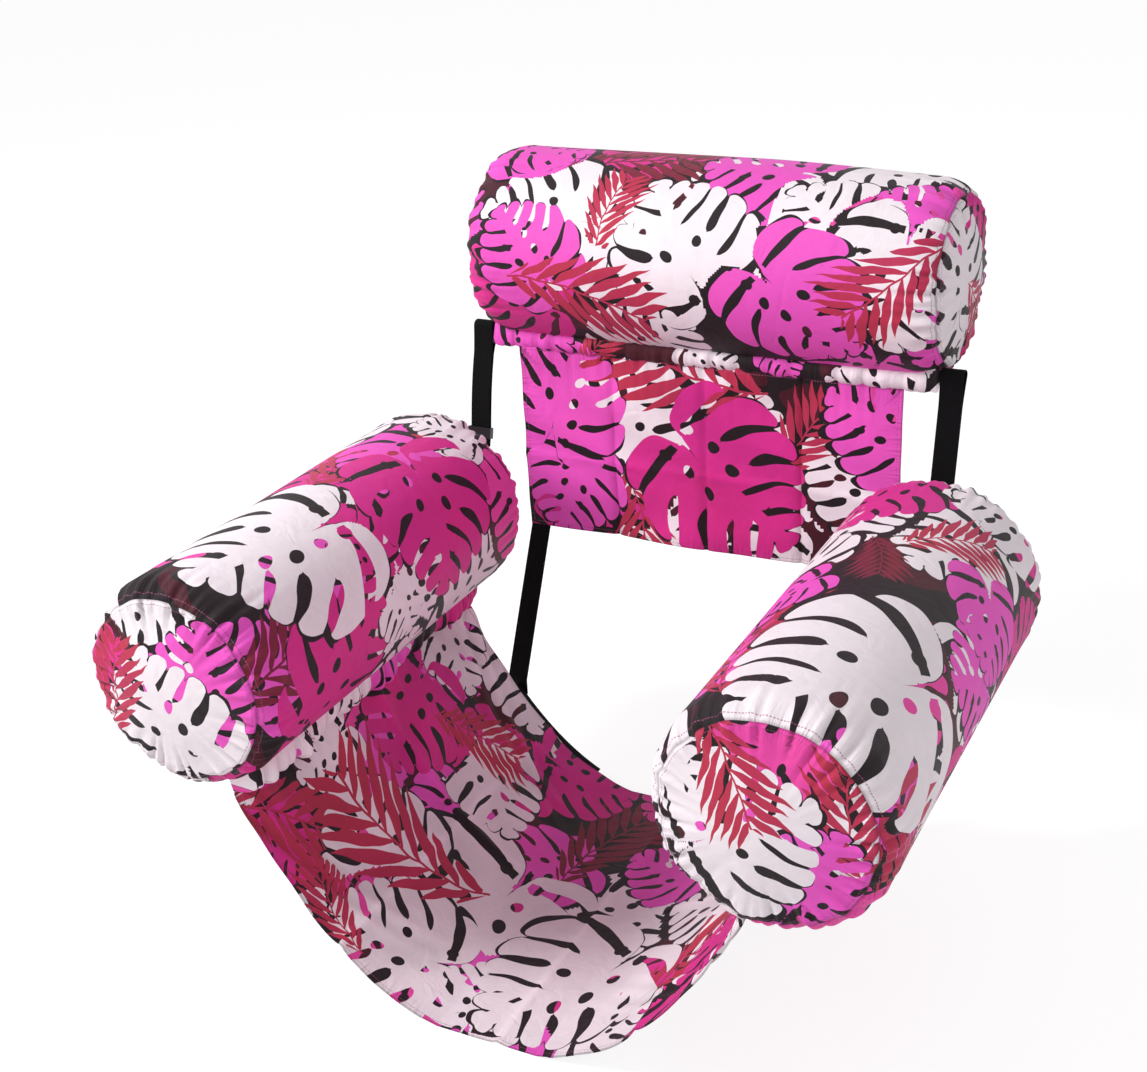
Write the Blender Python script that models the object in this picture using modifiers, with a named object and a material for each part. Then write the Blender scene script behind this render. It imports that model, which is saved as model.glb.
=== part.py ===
# Inflatable pool chair. Two armrests and a headrest are air bladders in sewn cloth covers.
# A cloth seat is slung between the armrests, and a cloth back panel hangs under the headrest.
# Webbing straps tie the headrest to the armrests and the panel to the back of the seat.
# Metres, +Z up, +Y towards the back. Left is -X, as seen from the front.
# The floor is at Z = 0 and the middle of the bounding box is at X = Y = 0.
import math

import bmesh
import bpy
import numpy as np
from mathutils import Matrix, Vector

# Driving sizes of the chair
bolster_diameter = 0.220
armrest_length = 0.545
headrest_length = 0.575
armrest_spacing = 0.598
headrest_setback = 0.398
headrest_rise = 0.275
seat_drop = 0.341
panel_width = 0.460
panel_height = 0.226

# Cloth, webbing and the clearances between pieces
cloth_thickness = 0.0010
panel_thickness = 0.0016
webbing_width = 0.025
webbing_thickness = 0.0014
fit_gap = 0.0003
seam_gap = 0.0005
overrun = 0.004

# Bolster cover: a sleeve drawn in to a gathered seam at each end, with a domed end cap
seam_radius = 0.095
seam_inset = 0.017
shoulder_length = 0.0265
gather_depth = 0.0020
bolster_sides = 32
shoulder_steps = 3
cap_radius_shares = (0.0, 0.45, 0.78, 1.0)
cap_crown_power = 3
cap_rim_gap = 0.0009

# Seam allowance that stands out of each sleeve and carries the seat or the panel
seam_fin_depth = 0.015
seam_fin_thickness = 0.0016
seam_fin_bevel = 0.0004
armrest_seam_degrees = 14.4
headrest_seam_degrees = 28.8

# Bladder and its valve, at the end of the bolster that the zip reaches
bladder_wall = 0.0008
bladder_slack = 0.0006
bladder_seam_clearance = 0.0045
bladder_sides = 24
bladder_end_share = 0.68
valve_pocket_depth = 0.017
bladder_corner_length = 0.034
valve_bore_radius = 0.0038
valve_tube_radius = 0.0055
valve_tube_length = 0.018
valve_flange_radius = 0.0110
valve_flange_thickness = 0.0012
valve_neck_height = 0.0030
plug_head_radius = 0.0066
plug_head_thickness = 0.0020
plug_shank_length = 0.0120
valve_sides = 14

# Zip that closes the slit through which the bladder goes in
zip_length = 0.190
zip_end_margin = 0.012
zip_side_margin = 0.0008
zip_tape_thickness = 0.0008
zip_facets_from_seam = 3
slit_width = 0.007
slit_end_margin = 0.010
teeth_width = 0.0046
teeth_height = 0.0012
teeth_end_margin = 0.004
zip_slider_length = 0.0090
zip_slider_wall = 0.0010
lug_width = 0.0030
lug_length = 0.0040
lug_height = 0.0030
lug_bore_radius = 0.0008
pull_bar_radius = 0.0005
pull_end_reach = 0.0007
pull_width = 0.0066
pull_length = 0.0230
pull_thickness = 0.0012
pull_window_length = 0.0052

# Seat: a hanging trough, a little steeper than a parabola
seat_curve_power = 2.4
seat_flat_cut = 0.005
seat_fold_depth = 0.0022
seat_folds = 3
seat_columns = 36
seat_rows = 8
seat_curve_samples = 400

# Back panel, creased where it was folded in four
panel_crease_depth = 0.004
panel_columns = 16
panel_rows = 5

# Webbing: upper straps with their sliders, lower straps, and the lengths sewn under the
# seat's back edge, which start and end on the seat's own columns of facets
strap_anchor_gap = 0.0005
strap_behind_armrest = 0.0135
strap_bend_drop = 0.065
strap_bend_reach = 0.032
strap_bend_steps = 7
strap_top_clearance = 0.006
fold_steps = 6
slider_bar = 0.0014
slider_rim = 0.0024
slider_height = 0.0130
slider_place_share = 0.52
strap_tail = 0.022
lower_strap_inset = 0.0125
lower_strap_overlap = 0.020
seat_webbing_edge = 0.010
seat_webbing_first_column = 5
seat_webbing_last_column = 11

# Places that follow from the sizes above
bolster_radius = bolster_diameter / 2
facet_angle = 2 * math.pi / bolster_sides
facet_radius = bolster_radius * math.cos(facet_angle / 2)
facet_width = 2 * bolster_radius * math.sin(facet_angle / 2)
armrest_seam_angle = math.radians(armrest_seam_degrees)
headrest_seam_angle = math.radians(headrest_seam_degrees)
fin_inner_radius = facet_radius + fit_gap
fin_outer_radius = fin_inner_radius + seam_fin_depth
hinge_radius = fin_outer_radius + seam_gap / 2
armrest_x = armrest_spacing / 2
armrest_y = (armrest_length / 2 - headrest_setback - bolster_radius) / 2
armrest_z = seat_drop
headrest_y = armrest_y + headrest_setback
headrest_z = armrest_z + headrest_rise
hinge_x = armrest_x - hinge_radius * math.sin(armrest_seam_angle)
hinge_z = armrest_z - hinge_radius * math.cos(armrest_seam_angle)
seat_depth = armrest_length - 2 * (seam_inset + shoulder_length)
seat_back_y = armrest_y + seat_depth / 2
seat_half_width = hinge_x - seam_gap / 2 * math.sin(armrest_seam_angle)
seat_top_z = hinge_z - seam_gap / 2 * math.cos(armrest_seam_angle)
panel_y = headrest_y - fin_outer_radius * math.sin(headrest_seam_angle)
panel_top_z = (
    headrest_z
    - fin_outer_radius * math.cos(headrest_seam_angle)
    - (seam_fin_thickness + panel_thickness) / 2 * math.sin(headrest_seam_angle)
    - fit_gap
)
panel_bottom_z = panel_top_z - panel_height
ply_spacing = webbing_thickness + slider_bar + 2 * fit_gap
upper_strap_x = hinge_x + webbing_width / 2
headrest_fin_length = 2 * (upper_strap_x - webbing_width / 2 - fit_gap)
backrest_hinge = Vector((0, seat_back_y + strap_anchor_gap, hinge_z))

# Colours as red, green and blue, with roughness
printed_pink = ((0.80, 0.06, 0.38), 0.55)
printed_pale = ((0.85, 0.72, 0.78), 0.55)
seam_crimson = ((0.40, 0.03, 0.08), 0.6)
bladder_clear = ((0.75, 0.80, 0.82), 0.25)
valve_white = ((0.85, 0.86, 0.86), 0.3)
webbing_black = ((0.012, 0.012, 0.014), 0.75)
plastic_black = ((0.015, 0.015, 0.017), 0.35)


def clear_scene():
    for obj in list(bpy.data.objects):
        bpy.data.objects.remove(obj, do_unlink=True)


def new_collection(name):
    collection = bpy.data.collections.new(name)
    bpy.context.scene.collection.children.link(collection)
    return collection


def material_for(name, finish):
    colour, roughness = finish
    material = bpy.data.materials.new(name)
    material.use_nodes = True
    shader = material.node_tree.nodes["Principled BSDF"]
    shader.inputs["Base Color"].default_value = (*colour, 1.0)
    shader.inputs["Roughness"].default_value = roughness
    shader.inputs["Metallic"].default_value = 0.0
    material.diffuse_color = (*colour, 1.0)
    return material


def add_piece(name, data, finish, parent=None, matrix=Matrix(), collection=None):
    obj = bpy.data.objects.new(name, data)
    (collection or chair).objects.link(obj)
    obj.parent = parent
    obj.matrix_local = matrix
    data.materials.clear()
    data.materials.append(material_for(name, finish))
    return obj


def add_frame(name, matrix, parent=None):
    frame = bpy.data.objects.new(name, None)
    chair.objects.link(frame)
    frame.parent = parent
    frame.matrix_local = matrix
    return frame


def mesh_from(name, build):
    work = bmesh.new()
    build(work)
    bmesh.ops.recalc_face_normals(work, faces=work.faces)
    mesh = bpy.data.meshes.new(name)
    work.to_mesh(mesh)
    work.free()
    return mesh


def realised(obj):
    # The object's evaluated mesh, with its loose caps sewn on, and the object removed.
    graph = bpy.context.evaluated_depsgraph_get()
    graph.update()
    mesh = bpy.data.meshes.new_from_object(obj.evaluated_get(graph))
    bpy.data.objects.remove(obj, do_unlink=True)
    work = bmesh.new()
    work.from_mesh(mesh)
    bmesh.ops.remove_doubles(work, verts=work.verts, dist=fit_gap / 100)
    work.to_mesh(mesh)
    work.free()
    return mesh


def box_mesh(name, low, high):
    centre = (Vector(low) + Vector(high)) / 2
    size = Vector(high) - Vector(low)
    place = Matrix.Translation(centre) @ Matrix.Diagonal((*size, 1))
    return mesh_from(name, lambda work: bmesh.ops.create_cube(work, size=1, matrix=place))


def rod_mesh(name, radius, length, axis_rotation, sides=12):
    def build(work):
        bmesh.ops.create_cone(
            work,
            cap_ends=True,
            segments=sides,
            radius1=radius,
            radius2=radius,
            depth=length,
            matrix=axis_rotation,
        )

    return mesh_from(name, build)


def turned_mesh(name, profile, sides):
    # Turns (radius, height) points about Z. A facet's middle, not an edge, lies at +X.
    mesh = bpy.data.meshes.new(name)
    points = [(radius, 0, height) for radius, height in profile]
    mesh.from_pydata(points, [(i, i + 1) for i in range(len(points) - 1)], [])
    obj = bpy.data.objects.new(name, mesh)
    chair.objects.link(obj)
    screw = obj.modifiers.new("turn", "SCREW")
    screw.axis = "Z"
    screw.steps = sides
    screw.render_steps = sides
    screw.use_merge_vertices = True
    screw.merge_threshold = fit_gap / 100
    turned = realised(obj)
    turned.transform(Matrix.Rotation(math.pi / sides, 4, "Z"))
    return turned


def joined(name, base, changes):
    # A mesh with other meshes added to it or cut from it.
    obj = bpy.data.objects.new(name, base)
    chair.objects.link(obj)
    helpers = []
    for operation, mesh in changes:
        helper = bpy.data.objects.new(name + "_helper", mesh)
        cutters.objects.link(helper)
        helpers.append(helper)
        boolean = obj.modifiers.new(operation.lower(), "BOOLEAN")
        boolean.operation = operation
        boolean.object = helper
    mesh = realised(obj)
    for helper in helpers:
        bpy.data.objects.remove(helper, do_unlink=True)
    return mesh


def add_solidify(obj, thickness, offset):
    solidify = obj.modifiers.new("thickness", "SOLIDIFY")
    solidify.thickness = thickness
    solidify.offset = offset
    solidify.use_even_offset = True


def add_bevel(obj, width):
    bevel = obj.modifiers.new("edges", "BEVEL")
    bevel.width = width
    bevel.segments = 1
    bevel.limit_method = "ANGLE"


def shade_round(mesh, degrees=40):
    mesh.shade_smooth()
    mesh.set_sharp_from_angle(angle=math.radians(degrees))


# The bolsters. Each is built about its own Z axis, with its seam allowance at +X.
def shoulder_radius(share):
    return bolster_radius - (bolster_radius - seam_radius) * share**2


def sleeve_profile(length):
    straight_end = length / 2 - seam_inset - shoulder_length
    upper = []
    for step in range(shoulder_steps, -1, -1):
        share = step / shoulder_steps
        upper.append((shoulder_radius(share), straight_end + shoulder_length * share))
    return upper + [(radius, -height) for radius, height in reversed(upper)]


def cap_profile(length):
    tip = length / 2
    depth = seam_inset - cap_rim_gap
    return [
        (seam_radius * share, tip - depth * share**cap_crown_power)
        for share in cap_radius_shares
    ]


def gather(mesh, seam_height, fade_length):
    # Draws in every other line of vertices towards the end seam, as gathered cloth is.
    for vertex in mesh.vertices:
        radius = math.hypot(vertex.co.x, vertex.co.y)
        if radius < seam_radius / 2:
            continue
        share = 1 - abs(abs(vertex.co.z) - seam_height) / fade_length
        angle = math.atan2(vertex.co.y, vertex.co.x)
        line = round(angle / facet_angle - 0.5)
        if share > 0 and line % 2:
            shrink = 1 - gather_depth * share / radius
            vertex.co.x *= shrink
            vertex.co.y *= shrink


def add_sleeve(name, length, parent, zip_matrix, slit_middle):
    mesh = turned_mesh(name, sleeve_profile(length), bolster_sides)
    gather(mesh, length / 2 - seam_inset, shoulder_length)
    shade_round(mesh)
    sleeve = add_piece(name + "_sleeve", mesh, printed_pink, parent)
    add_solidify(sleeve, cloth_thickness, -1)
    half_slit = zip_length / 2 - slit_end_margin
    slit = box_mesh(
        name + "_slit_cutter",
        (facet_radius - overrun, -slit_width / 2, slit_middle - half_slit),
        (facet_radius + overrun, slit_width / 2, slit_middle + half_slit),
    )
    cutter = add_piece(name + "_slit_cutter", slit, plastic_black, parent, zip_matrix, cutters)
    cutter.hide_render = True
    cutter.display_type = "WIRE"
    boolean = sleeve.modifiers.new("slit", "BOOLEAN")
    boolean.operation = "DIFFERENCE"
    boolean.object = cutter


def add_cap(name, length, parent, end):
    mesh = turned_mesh(name, cap_profile(length), bolster_sides)
    if end < 0:
        mesh.transform(Matrix.Rotation(math.pi, 4, "X"))
    gather(mesh, length / 2 - seam_inset, seam_inset)
    shade_round(mesh)
    cap = add_piece(name, mesh, printed_pale, parent)
    add_solidify(cap, cloth_thickness, -1)


def seam_fin_outline(length, fin_length):
    # Upper half of the strip's outline. Its inner edge follows the sleeve down its shoulder.
    end = fin_length / 2
    shoulder = sleeve_profile(length)[shoulder_steps::-1]
    heights = [height for radius, height in shoulder]
    end_radius = float(np.interp(end, heights, [radius for radius, height in shoulder]))
    inner = [corner for corner in shoulder if corner[1] < end - fit_gap] + [(end_radius, end)]
    facet_share = facet_radius / bolster_radius
    inner = [(facet_share * radius + fit_gap, height) for radius, height in inner]
    return [(fin_outer_radius, end)] + inner[::-1]


def add_seam_fin(name, length, fin_length, parent):
    upper = seam_fin_outline(length, fin_length)
    outline = upper + [(radius, -z) for radius, z in reversed(upper)]

    def build(work):
        corners = [work.verts.new((x, -seam_fin_thickness / 2, z)) for x, z in outline]
        face = work.faces.new(corners)
        moved = bmesh.ops.extrude_face_region(work, geom=[face])["geom"]
        raised = [item for item in moved if isinstance(item, bmesh.types.BMVert)]
        bmesh.ops.translate(work, verts=raised, vec=(0, seam_fin_thickness, 0))

    fin = add_piece(name, mesh_from(name, build), seam_crimson, parent)
    add_bevel(fin, seam_fin_bevel)


def bladder_profile(length, valve_height):
    # From the closed end at the top down to the rim of the hole at the valve end.
    radius = bolster_radius - cloth_thickness - bladder_slack
    end_radius = seam_radius - bladder_seam_clearance
    tip = length / 2 - cloth_thickness - bladder_slack
    crown = seam_inset + bladder_seam_clearance
    straight_end = length / 2 - seam_inset - shoulder_length - bladder_seam_clearance
    corner = straight_end + shoulder_length
    points = [(0, tip)]
    points += [
        (end_radius * share, tip - crown * share**cap_crown_power)
        for share in cap_radius_shares[1:-1]
    ]
    points.append((end_radius, min(corner, tip - crown)))
    points.append((radius, straight_end))
    flat_radius = bladder_end_share * radius
    points.append((radius, -valve_height + bladder_corner_length))
    points.append((end_radius, -valve_height + bladder_corner_length / 4))
    points.append((flat_radius, -valve_height))
    points.append((valve_tube_radius + fit_gap, -valve_height))
    return points


def stem_profile():
    # A flange that lies outside the bladder's end, a neck above it and a tube through the hole.
    return [
        (valve_bore_radius, fit_gap + valve_flange_thickness + valve_neck_height),
        (valve_tube_radius, fit_gap + valve_flange_thickness + valve_neck_height),
        (valve_tube_radius, fit_gap + valve_flange_thickness),
        (valve_flange_radius, fit_gap + valve_flange_thickness),
        (valve_flange_radius, fit_gap),
        (valve_tube_radius, fit_gap),
        (valve_tube_radius, -valve_tube_length),
        (valve_bore_radius, -valve_tube_length),
        (valve_bore_radius, fit_gap + valve_flange_thickness + valve_neck_height),
    ]


def plug_profile():
    seat = fit_gap + valve_flange_thickness + valve_neck_height + fit_gap
    shank_radius = valve_bore_radius - fit_gap
    return [
        (0, seat + plug_head_thickness),
        (plug_head_radius, seat + plug_head_thickness),
        (plug_head_radius, seat),
        (shank_radius, seat),
        (shank_radius, seat - plug_shank_length),
        (0, seat - plug_shank_length),
    ]


def add_bladder(name, length, parent, valve_end):
    valve_height = length / 2 - valve_pocket_depth
    mesh = turned_mesh(name, bladder_profile(length, valve_height), bladder_sides)
    turn = Matrix.Rotation(math.pi, 4, "X") if valve_end > 0 else Matrix()
    mesh.transform(turn)
    shade_round(mesh)
    bladder = add_piece(name + "_bladder", mesh, bladder_clear, parent)
    add_solidify(bladder, bladder_wall, -1)
    outwards = Matrix() if valve_end > 0 else Matrix.Rotation(math.pi, 4, "X")
    place = Matrix.Translation((0, 0, valve_end * valve_height)) @ outwards
    stem = turned_mesh(name, stem_profile(), valve_sides)
    plug = turned_mesh(name, plug_profile(), valve_sides)
    add_piece(name + "_valve_stem", stem, valve_white, parent, place)
    add_piece(name + "_valve_plug", plug, valve_white, parent, place)


# The zip. Its pieces are drawn on a facet of the sleeve: X stands out of it and Z runs along it.
tape_low = facet_radius + fit_gap
teeth_low = tape_low + zip_tape_thickness + fit_gap
slider_low = tape_low + zip_tape_thickness + fit_gap
slider_inside = teeth_low + teeth_height + fit_gap
slider_top = slider_inside + zip_slider_wall
pull_axis_height = slider_top + lug_height - lug_bore_radius - zip_slider_wall


def zip_slider_mesh():
    inner = teeth_width / 2 + fit_gap
    outer = inner + zip_slider_wall
    half_length = zip_slider_length / 2
    body = box_mesh("body", (slider_low, -outer, -half_length), (slider_top, outer, half_length))
    channel = box_mesh(
        "channel",
        (slider_low - overrun, -inner, -half_length - overrun),
        (slider_inside, inner, half_length + overrun),
    )
    lug = box_mesh(
        "lug",
        (slider_top - zip_slider_wall / 2, -lug_width / 2, -lug_length / 2),
        (slider_top + lug_height, lug_width / 2, lug_length / 2),
    )
    across = Matrix.Translation((pull_axis_height, 0, 0)) @ Matrix.Rotation(math.pi / 2, 4, "X")
    bore = rod_mesh("bore", lug_bore_radius, lug_width + 2 * overrun, across)
    return joined("zip_slider", body, [("DIFFERENCE", channel), ("UNION", lug), ("DIFFERENCE", bore)])


def zip_pull_mesh():
    # A tab that hangs along +X from a bar through the slider's lug, with a window round the lug.
    tab = box_mesh(
        "tab",
        (-pull_end_reach, -pull_width / 2, -pull_thickness / 2),
        (pull_length, pull_width / 2, pull_thickness / 2),
    )
    half_window = lug_width / 2 + fit_gap
    window = box_mesh(
        "window",
        (-pull_end_reach - overrun, -half_window, -pull_thickness),
        (pull_window_length, half_window, pull_thickness),
    )
    bar_length = 2 * half_window + (pull_width / 2 - half_window)
    bar = rod_mesh("bar", pull_bar_radius, bar_length, Matrix.Rotation(math.pi / 2, 4, "X"))
    return joined("zip_pull", tab, [("DIFFERENCE", window), ("UNION", bar)])


def add_zip(name, length, parent, zip_matrix, zip_end, slider_mesh, pull_mesh):
    straight_end = length / 2 - seam_inset - shoulder_length
    outer_end = straight_end - zip_end_margin
    middle = zip_end * (outer_end - zip_length / 2)
    half_tape = zip_length / 2
    half_teeth = half_tape - teeth_end_margin
    tape_half_width = facet_width / 2 - zip_side_margin
    tape = box_mesh(
        name + "_zip_tape",
        (tape_low, -tape_half_width, middle - half_tape),
        (tape_low + zip_tape_thickness, tape_half_width, middle + half_tape),
    )
    teeth = box_mesh(
        name + "_zip_teeth",
        (teeth_low, -teeth_width / 2, middle - half_teeth),
        (teeth_low + teeth_height, teeth_width / 2, middle + half_teeth),
    )
    add_piece(name + "_zip_tape", tape, seam_crimson, parent, zip_matrix)
    add_piece(name + "_zip_teeth", teeth, plastic_black, parent, zip_matrix)
    closed = middle + zip_end * (half_teeth - zip_slider_length / 2)
    slider_frame = add_frame(
        name + "_zip_slider_frame", zip_matrix @ Matrix.Translation((0, 0, closed)), parent
    )
    add_piece(name + "_zip_slider", slider_mesh.copy(), plastic_black, slider_frame)
    pull_frame = add_frame(
        name + "_zip_pull_frame", Matrix.Translation((pull_axis_height, 0, 0)), slider_frame
    )
    add_piece(name + "_zip_pull", pull_mesh.copy(), plastic_black, pull_frame)
    return middle


def add_bolster(name, length, frame, valve_end, fin_length, slider_mesh, pull_mesh):
    zip_matrix = Matrix.Rotation(zip_facets_from_seam * facet_angle, 4, "Z")
    middle = add_zip(name, length, frame, zip_matrix, valve_end, slider_mesh, pull_mesh)
    add_sleeve(name, length, frame, zip_matrix, middle)
    add_cap(name + "_valve_end_cap", length, frame, valve_end)
    add_cap(name + "_far_end_cap", length, frame, -valve_end)
    add_bladder(name, length, frame, valve_end)
    add_seam_fin(name + "_seam_strip", length, fin_length, frame)


def frame_matrix(origin, x_axis, z_axis):
    x_axis = Vector(x_axis).normalized()
    z_axis = Vector(z_axis).normalized()
    y_axis = z_axis.cross(x_axis)
    rotation = Matrix((x_axis, y_axis, z_axis)).transposed()
    return Matrix.Translation(origin) @ rotation.to_4x4()


# The seat. Its points run at even steps along the trough from one armrest to the other.
def seat_height(x):
    drop = seat_top_z - cloth_thickness / 2 + seat_flat_cut
    height = seat_top_z - drop * (1 - abs(x / seat_half_width) ** seat_curve_power)
    return max(height, cloth_thickness / 2)


def seat_curve():
    # (x, z) points of half the trough from the middle out, and the distance to each.
    points = []
    distances = []
    for step in range(seat_curve_samples + 1):
        x = seat_half_width * step / seat_curve_samples
        point = Vector((x, seat_height(x)))
        distances.append(distances[-1] + (point - points[-1]).length if points else 0)
        points.append(point)
    return points, distances


def seat_point(share, points, distances):
    # The place and the inward normal at a share from -1 at the left seam to 1 at the right.
    wanted = abs(share) * distances[-1]
    step = next(i for i in range(1, len(points)) if distances[i] >= wanted or i == len(points) - 1)
    before, after = points[step - 1], points[step]
    part = (wanted - distances[step - 1]) / (distances[step] - distances[step - 1])
    place = before.lerp(after, part)
    along = (after - before).normalized()
    side = 1 if share >= 0 else -1
    return Vector((side * place.x, place.y)), Vector((-side * along.y, along.x))


def add_seat():
    points, distances = seat_curve()

    def build(work):
        bmesh.ops.create_grid(work, x_segments=seat_columns, y_segments=seat_rows, size=1)
        for vertex in work.verts:
            share, depth_share = vertex.co.x, vertex.co.y
            place, normal = seat_point(share, points, distances)
            swell = share**2 * (1 - share**4) if place.y > cloth_thickness else 0
            lift = seat_fold_depth * swell * math.cos(math.pi * seat_folds * (1 - depth_share))
            x, z = place + normal * lift
            vertex.co = Vector((x, armrest_y + depth_share * seat_depth / 2, z))

    mesh = mesh_from("seat_sling", build)
    shade_round(mesh)
    seat = add_piece("seat_sling", mesh, printed_pink)
    add_solidify(seat, cloth_thickness, 0)


def add_panel(parent):
    def build(work):
        bmesh.ops.create_grid(work, x_segments=panel_columns, y_segments=panel_rows, size=1)
        for vertex in work.verts:
            across, up = vertex.co.x, vertex.co.y
            crease = 1 - abs(2 * abs(across) - 1)
            hang = (1 - up) / 2
            y = panel_y + panel_crease_depth * crease * hang
            z = panel_bottom_z + (1 + up) / 2 * panel_height
            vertex.co = Vector((across * panel_width / 2, y, z))

    mesh = mesh_from("back_panel", build)
    shade_round(mesh)
    panel = add_piece("back_panel", mesh, printed_pink, parent, Matrix.Translation(-backrest_hinge))
    add_solidify(panel, panel_thickness, 0)


# The webbing. A strap is a flat outline drawn round its path and extruded to the webbing's width.
def ribbon_outline(path, thickness):
    left, right = [], []
    for i, point in enumerate(path):
        before = path[max(i - 1, 0)]
        after = path[min(i + 1, len(path) - 1)]
        first = (point - before).normalized() if i else (after - point).normalized()
        last = (after - point).normalized() if i < len(path) - 1 else first
        along = (first + last).normalized()
        stretch = 1 / max(along.dot(first), 0.5)
        normal = Vector((-along.y, along.x)) * thickness / 2 * stretch
        left.append(point + normal)
        right.append(point - normal)
    return left + right[::-1]


def add_ribbon(name, path, width, matrix, parent=None):
    curve = bpy.data.curves.new(name, "CURVE")
    curve.dimensions = "2D"
    curve.fill_mode = "BOTH"
    curve.extrude = width / 2
    outline = ribbon_outline(path, webbing_thickness)
    spline = curve.splines.new("POLY")
    spline.points.add(len(outline) - 1)
    for spline_point, place in zip(spline.points, outline):
        spline_point.co = (place.x, place.y, 0, 1)
    spline.use_cyclic_u = True
    return add_piece(name, curve, webbing_black, parent, matrix)


def side_view(x):
    # Draws a path of (y, z) points in the plane X = x, as seen from the backrest's hinge.
    return Matrix.Translation(-backrest_hinge) @ frame_matrix((x, 0, 0), (0, 1, 0), (1, 0, 0))


def bezier(start, start_handle, end_handle, end, steps):
    points = []
    for step in range(steps + 1):
        t = step / steps
        s = 1 - t
        points.append(s**3 * start + 3 * s**2 * t * start_handle + 3 * s * t**2 * end_handle + t**3 * end)
    return points


def upper_strap_places():
    anchor = backrest_hinge.yz
    bend = Vector((armrest_y + armrest_length / 2 + strap_behind_armrest, armrest_z - strap_bend_drop))
    top_radius = bolster_radius + strap_top_clearance
    top = Vector(
        (
            headrest_y - top_radius * math.sin(headrest_seam_angle),
            headrest_z - top_radius * math.cos(headrest_seam_angle),
        )
    )
    return anchor, bend, top


def add_upper_strap(name, x, parent):
    # Up from the armrest's seam strip, over the top and back down inside the slider.
    anchor, bend, top = upper_strap_places()
    along = (top - bend).normalized()
    back = Vector((along.y, -along.x))
    path = bezier(
        anchor,
        anchor + Vector((strap_bend_reach, 0)),
        bend - along * strap_bend_reach,
        bend,
        strap_bend_steps,
    )
    fold_radius = ply_spacing / 2
    centre = top + back * fold_radius
    for step in range(fold_steps + 1):
        angle = math.pi * step / fold_steps
        path.append(centre - back * fold_radius * math.cos(angle) + along * fold_radius * math.sin(angle))
    slider_place = bend.lerp(top, slider_place_share)
    path.append(slider_place + back * ply_spacing - along * strap_tail)
    add_ribbon(name + "_upper_strap", path, webbing_width, side_view(x), parent)


def strap_slider_mesh():
    # A flat keeper with a slot for each ply and a bar between them, drawn with the strap along Z.
    slot_half = webbing_thickness / 2 + fit_gap
    half_width = webbing_width / 2 + fit_gap + slider_rim
    half_depth = ply_spacing / 2 + slot_half + slider_rim / 2
    half_height = slider_height / 2
    body = box_mesh("body", (-half_width, -half_depth, -half_height), (half_width, half_depth, half_height))
    slots = []
    for side in (-1, 1):
        middle = side * ply_spacing / 2
        slot = box_mesh(
            "slot",
            (-webbing_width / 2 - fit_gap, middle - slot_half, -half_height - overrun),
            (webbing_width / 2 + fit_gap, middle + slot_half, half_height + overrun),
        )
        slots.append(("DIFFERENCE", slot))
    return joined("strap_slider", body, slots)


def add_strap_slider(name, x, mesh, parent):
    anchor, bend, top = upper_strap_places()
    along = (top - bend).normalized()
    back = Vector((along.y, -along.x))
    place = bend.lerp(top, slider_place_share) + back * ply_spacing / 2
    matrix = frame_matrix((x, place.x, place.y), (1, 0, 0), (0, along.x, along.y))
    matrix = Matrix.Translation(-backrest_hinge) @ matrix
    add_piece(name + "_strap_slider", mesh.copy(), plastic_black, parent, matrix)


def seat_webbing_path(side):
    # Down the outside of the seat from where the lower strap meets it.
    points, distances = seat_curve()
    below = cloth_thickness / 2 + fit_gap + webbing_thickness / 2
    path = []
    for column in range(seat_webbing_last_column, seat_webbing_first_column - 1, -1):
        place, normal = seat_point(side * 2 * column / seat_columns, points, distances)
        path.append(place - normal * below)
    return path


def add_seat_webbing(name, side):
    middle_y = seat_back_y + seat_webbing_edge - webbing_width / 2
    matrix = frame_matrix((0, middle_y, 0), (1, 0, 0), (0, -1, 0))
    add_ribbon(name + "_seat_webbing", seat_webbing_path(side), webbing_width, matrix)


def add_lower_strap(name, side, parent):
    # Down from behind the panel's lower corner to the back edge of the seat's webbing.
    x = side * (panel_width / 2 - lower_strap_inset)
    crease_here = panel_crease_depth * 4 * webbing_width / panel_width
    behind_panel = panel_y + (panel_thickness + webbing_thickness) / 2 + fit_gap + crease_here
    webbing_top = seat_webbing_path(side)[0].y
    behind_webbing = seat_back_y + seat_webbing_edge + fit_gap + webbing_thickness / 2
    path = [
        Vector((behind_panel, panel_bottom_z + lower_strap_overlap)),
        Vector((behind_panel, panel_bottom_z)),
        Vector((behind_webbing, webbing_top)),
        Vector((behind_webbing, webbing_top - lower_strap_overlap)),
    ]
    add_ribbon(name + "_lower_strap", path, webbing_width, side_view(x), parent)


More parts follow.
